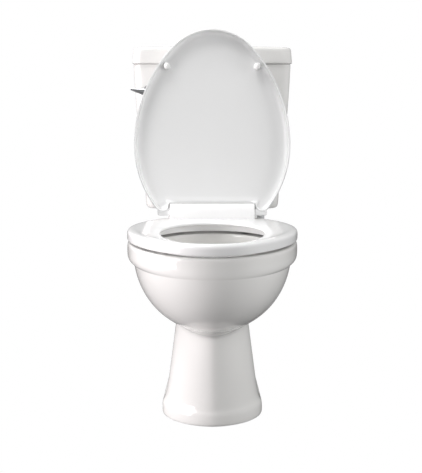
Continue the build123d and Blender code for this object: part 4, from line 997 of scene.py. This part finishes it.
@dataclass
class Cistern:
    """Glazed tank that narrows downwards, and its loose lid."""

    bottom: float = 437.0
    seam: float = 786.0
    wall: float = 9.0
    lid_half: float = 191.0

    def __post_init__(self) -> None:
        """Reads the rear and front faces from the frame."""
        low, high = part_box("cistern")
        lid_low, lid_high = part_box("cistern_lid")
        self.front, self.rear = low.y / MM, high.y / MM
        self.lid_front, self.lid_rear = lid_low.y / MM, lid_high.y / MM

    def body(self) -> Skin:
        """Tank with its rim and its inside."""
        rows = [
            (self.bottom, 148, 139, 12), (self.bottom + 0.6, 154, 144, 18), (self.bottom + 3, 159.4, 148, 21),
            (self.bottom + 8, 162.0, 150.5, 23), (self.bottom + 16, 163.0, 152.5, 24), (480, 163.6, 156, 24),
            (520, 167.2, 161.5, 24), (570, 172.8, 167.5, 24), (620, 177.9, 173.2, 24),
            (670, 181.8, 176.2, 24), (720, 184.9, 177, 24), (760, 187.0, 177, 24), (780, 187.9, 177, 24),
            (784.6, 187.8, 176.8, 24),
            (self.seam - 0.2, 186.6, 175.6, 23),
        ]
        depth = self.rear - self.front
        rings = [
            rounded_box(half, self.rear - min(deep, depth), self.rear, corner, height)
            for height, half, deep, corner in rows
        ]
        inner = [(self.seam - 0.2, 180.4, 167.4, 17), (784.6, 179.2, 166.2, 16), (780, 179, 166, 15)]
        inner += [(height, half - self.wall, deep - self.wall, 15) for height, half, deep, _ in rows[11:4:-1]]
        inner += [(456, 153, 143, 15), (451, 150, 140, 13), (449, 145, 136, 11), (449, 120, 110, 9)]
        for height, half, deep, corner in inner:
            front = self.rear - min(deep, depth - self.wall)
            rings.append(rounded_box(half, front, self.rear - self.wall, corner, height))
        return Skin(64).grow(rings)

    def lid(self) -> Skin:
        """Lid with a crowned top, a rolled edge, a skirt and a lip inside."""
        even = (  # height, in from the sides and from front and rear, corner radius
            (778.4, 22, 12), (776.6, 20, 13), (778.4, 18.2, 14), (786, 18, 14), (800, 18, 14), (801.5, 16.5, 15),
            (799, 12.6, 16), (788.4, 12, 16), (786.8, 11, 17), (786.3, 8.5, 18), (786.2, 4, 21),
            (786.6, 1.4, 23), (788.4, 0.3, 24), (792, 0.2, 24),
        )
        crowned = (  # height, in from the sides, in from front and rear, corner radius, drop of the corners
            (805, 1.3, 0.7, 24, 0), (816, 2.3, 1.2, 24, 0.6), (821.5, 3.1, 1.9, 24, 1.2),
            (825, 5.0, 3.8, 23, 1.8), (826.8, 8.4, 7.2, 22, 2.4), (827.5, 14, 13, 20, 2.6), (827.8, 30, 28, 16, 2.4),
            (828, 70, 55, 12, 0.8), (828, 120, 75, 8, 0),
        )

        def rim(height: float, side: float, deep: float, corner: float, drop: float) -> Place:
            """Placing function of one ring of the lid."""
            half, front, rear = self.lid_half - side, self.lid_front + deep, self.lid_rear - deep
            return rounded_box(half, front, rear, corner, height, drop)

        rings = [rim(height, inset, inset, corner, 0) for height, inset, corner in even]
        rings += [rim(*row) for row in crowned]
        return Skin(64).grow([rim(815, 40, 40, 10, 0), rim(813, 24, 24, 12, 0), *rings])

    def build(self) -> None:
        """Makes the tank and its lid."""
        tank = finished("cistern_glazed", self.body().mesh, CHINA)
        place_piece(tank, "base", "ceramic", "cistern")
        lid = finished("cistern_lid_glazed", self.lid().mesh, CHINA)
        place_piece(lid, "tank_lid", "ceramic", "cistern_lid")


# ---------------------------------------------------------------- lever
@dataclass
class Lever:
    """Chromium plated flush lever: a domed hub and a pointed blade."""

    blade_spokes: int = 24
    blade_set: float = 5.0  # middle of its thickness, ahead of the hub's back

    def build(self) -> None:
        """Makes the handle inside the CAD handle's box."""
        low, high = (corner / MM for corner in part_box("lever_handle"))
        radius = (high.z - low.z) / 2
        hub_x, hub_z = high.x - radius, (high.z + low.z) / 2
        front, back = low.y, high.y
        thick = back - front
        hub_rows = (
            (back, radius - 2), (back - 0.6, radius - 0.4), (back - 1.8, radius), (back - 3.4, radius - 0.6),
            (back - thick * 0.55, radius - 4), (back - thick * 0.8, radius - 9),
            (back - thick * 0.95, radius - 15), (front + 0.05, radius - 20),
        )
        blade_rows = (
            (low.x + 0.4, 9.8, 8.4, 1.6), (low.x + 1.4, 10.4, 7.2, 2.4), (low.x + 5, 10.6, 5.0, 4.4),
            (low.x + 14, 10.4, 1.4, 6.4), (low.x + 28, 9.8, -4.4, 7.4), (low.x + 42, 9.0, -10.2, 7.8),
            (low.x + 54, 8.0, -14.0, 7.8), (low.x + 64, 6.0, -14, 7.0), (low.x + 68, 2.0, -10, 4.0),
        )

        def across(x: float, top: float, bottom: float, depth: float) -> Place:
            """Placing function of one section of the blade."""
            def place(i: int) -> Vector:
                """Point of the section, as a squared circle."""
                turn = i / self.blade_spokes * math.tau
                up, out = math.cos(turn), math.sin(turn)
                z = hub_z + mix(bottom, top, 0.5 + 0.5 * math.copysign(abs(up) ** 0.8, up))
                middle = back - self.blade_set
                return Vector((x, middle + depth / 2 * math.copysign(abs(out) ** 0.7, out), z)) * MM
            return place

        hub = turned(48, hub_rows, lambda y, up, right: Vector((hub_x + right, y, hub_z + up)) * MM)
        blade = Skin(self.blade_spokes).grow([across(*row) for row in blade_rows])
        piece = finished("lever_handle_plated", join_skins([hub, blade]), CHROME)
        place_piece(piece, "lever", "chrome", "lever_handle")


# ---------------------------------------------------------------- CAD nodes kept
class Fittings:
    """Hinge, flush and filling pieces whose CAD shape stays, with their finishes."""

    def build(self) -> None:
        """Gives every kept CAD node its material."""
        finishes = {
            ACETAL: ("hinge_posts",),
            STEEL: ("hinge_pins", "hinge_studs", "plunger_rod", "valve_pin", "float_link"),
            RUBBER: ("hinge_washers", "bush_washer", "siphon_washer", "doughnut_seal", "coupling_seals",
                     "valve_washer"),
            NYLON: ("hinge_wing_nuts", "bush_nut", "siphon_backnut", "valve_backnut"),
            CHROME: ("lever_bush",),
            BRASS: ("lever_spindle", "lift_arm", "coupling_bolts", "coupling_wing_nuts"),
            SIPHON: ("plunger_disc", "siphon_body"),
            VALVE: ("valve_body", "valve_cap", "valve_arm"),
            FLOAT: ("float_cup",),
        }
        for finish, names in finishes.items():
            for name in names:
                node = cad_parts[name]
                node.data.materials.clear()
                node.data.materials.append(finish.material())
                log.info("%s in %s", name, finish.name)


# ---------------------------------------------------------------- studio
@dataclass
class Studio:
    """Camera, pale floor and soft lights."""

    lens: float = 77.56
    eye_back: float = 2.3681
    eye_height: float = 0.7122
    eye_x: float = -0.0028
    pitch: float = 7.888
    lamps: dict[str, bpy.types.Object] = field(default_factory=dict)

    def camera(self) -> None:
        """Long lens a little above the seat, looking slightly down."""
        data = bpy.data.cameras.new("camera")
        data.lens = self.lens
        data.sensor_width = 36.0
        camera = bpy.data.objects.new("camera", data)
        camera.location = (self.eye_x, Axis.y - self.eye_back, self.eye_height)
        camera.rotation_euler = (math.radians(90 - self.pitch), 0, 0)
        bpy.context.scene.collection.objects.link(camera)
        bpy.context.scene.camera = camera

    def split(
        self, tree: bpy.types.NodeTree, seen: bpy.types.Node, cast: bpy.types.Node, output: str
    ) -> None:
        """Shows one shader to the camera and another to every other ray.

        Args:
            tree: the node tree.
            seen: the shader that the camera sees.
            cast: the shader for all other rays.
            output: type name of the output node.
        """
        path = add_node(tree, "ShaderNodeLightPath")
        shaders = {0: path.outputs["Is Camera Ray"], 1: cast.outputs[0], 2: seen.outputs[0]}
        both = add_node(tree, "ShaderNodeMixShader", shaders)
        add_node(tree, output, {"Surface": both.outputs[0]})

    def floor(self) -> None:
        """Plain white floor."""
        mesh = bmesh.new()
        bmesh.ops.create_grid(mesh, x_segments=1, y_segments=1, size=9.0)
        data = bpy.data.meshes.new("floor")
        mesh.to_mesh(data)
        mesh.free()
        piece = bpy.data.objects.new("floor", data)
        bpy.context.scene.collection.objects.link(piece)
        made = bpy.data.materials.new("floor_paper")
        made.use_nodes = True
        tree = made.node_tree
        tree.nodes.clear()
        seen = add_node(tree, "ShaderNodeEmission", {"Color": (1, 1, 1, 1), "Strength": 1.0})
        cast = add_node(tree, "ShaderNodeBsdfDiffuse", {"Color": linear("#8C8C8C")})
        self.split(tree, seen, cast, "ShaderNodeOutputMaterial")
        data.materials.append(made)

    def light(
        self, name: str, place: Sequence[float], aim: Sequence[float], size: Flat, power: float,
        tint: str = "#FFFFFF", glints: bool = True,
    ) -> None:
        """Adds one soft rectangular light.

        Args:
            name: its name.
            place: where it stands, in metres.
            aim: the point that it faces.
            size: width and height.
            power: watts.
            tint: its colour.
            glints: lets its shape show as a reflection.
        """
        data = bpy.data.lights.new(name, "AREA")
        data.shape = "RECTANGLE"
        data.size, data.size_y = size
        data.energy = power
        data.color = linear(tint)[:3]
        lamp = bpy.data.objects.new(name, data)
        lamp.location = place
        lamp.rotation_euler = (Vector(aim) - Vector(place)).to_track_quat("-Z", "Y").to_euler()
        bpy.context.scene.collection.objects.link(lamp)
        lamp.visible_glossy = glints
        self.lamps[name] = lamp

    def lights(self) -> None:
        """Tall key at the left, soft light from above and in front, broad fill at the right."""
        middle = (0, 0, 0.45)
        self.light("key", (-1.9, -0.7, 0.3), (0, 0, 0.2), (0.9, 1.0), 34, "#FFF8FA")
        self.light("side", (-1.9, -1.0, 0.9), (0, 0, 0.7), (0.9, 0.7), 9)
        self.light("top", (-0.7, 0.0, 2.3), middle, (1.4, 1.3), 36)
        self.light("front", (0, -2.9, 1.55), (0, 0, 0.65), (1.6, 0.9), 9, glints=False)
        self.light("fill", (2.2, -0.6, 0.6), middle, (1.0, 1.8), 28, glints=False)

    def flag(self, *names: str) -> None:
        """Keeps the key light off pieces, as a black flag beside the lamp would.

        Args:
            names: the pieces.
        """
        shaded = bpy.data.collections.new("flagged")
        for name in names:
            shaded.objects.link(bpy.data.objects[name])
        for entry in shaded.collection_objects:
            entry.light_linking.link_state = "EXCLUDE"
        self.lamps["key"].light_linking.receiver_collection = shaded

    def world(self) -> None:
        """White backdrop that the camera sees, and a dimmer grey that lights the object."""
        world = bpy.data.worlds.new("studio")
        bpy.context.scene.world = world
        world.use_nodes = True
        tree = world.node_tree
        tree.nodes.clear()
        seen = add_node(tree, "ShaderNodeBackground", {"Color": (1, 1, 1, 1), "Strength": 1.0})
        cast = add_node(tree, "ShaderNodeBackground", {"Color": linear("#E4E4E4"), "Strength": 0.36})
        self.split(tree, seen, cast, "ShaderNodeOutputWorld")

    def build(self) -> None:
        """Sets the whole studio."""
        self.camera()
        self.floor()
        self.lights()
        self.world()
        bpy.context.scene.view_settings.view_transform = "Standard"


def main() -> None:
    """Builds the studio and every piece."""
    logging.basicConfig(level=logging.INFO, format="%(name)s: %(message)s")
    studio = Studio()
    studio.build()
    Pan().build()
    Cistern().build()
    SeatRing().build()
    lid = SeatLid()
    lid.build()
    Buffers().build(lid)
    Lever().build()
    Fittings().build()
    studio.flag("seat_lid_moulded")


if __name__ == "__main__":
    main()
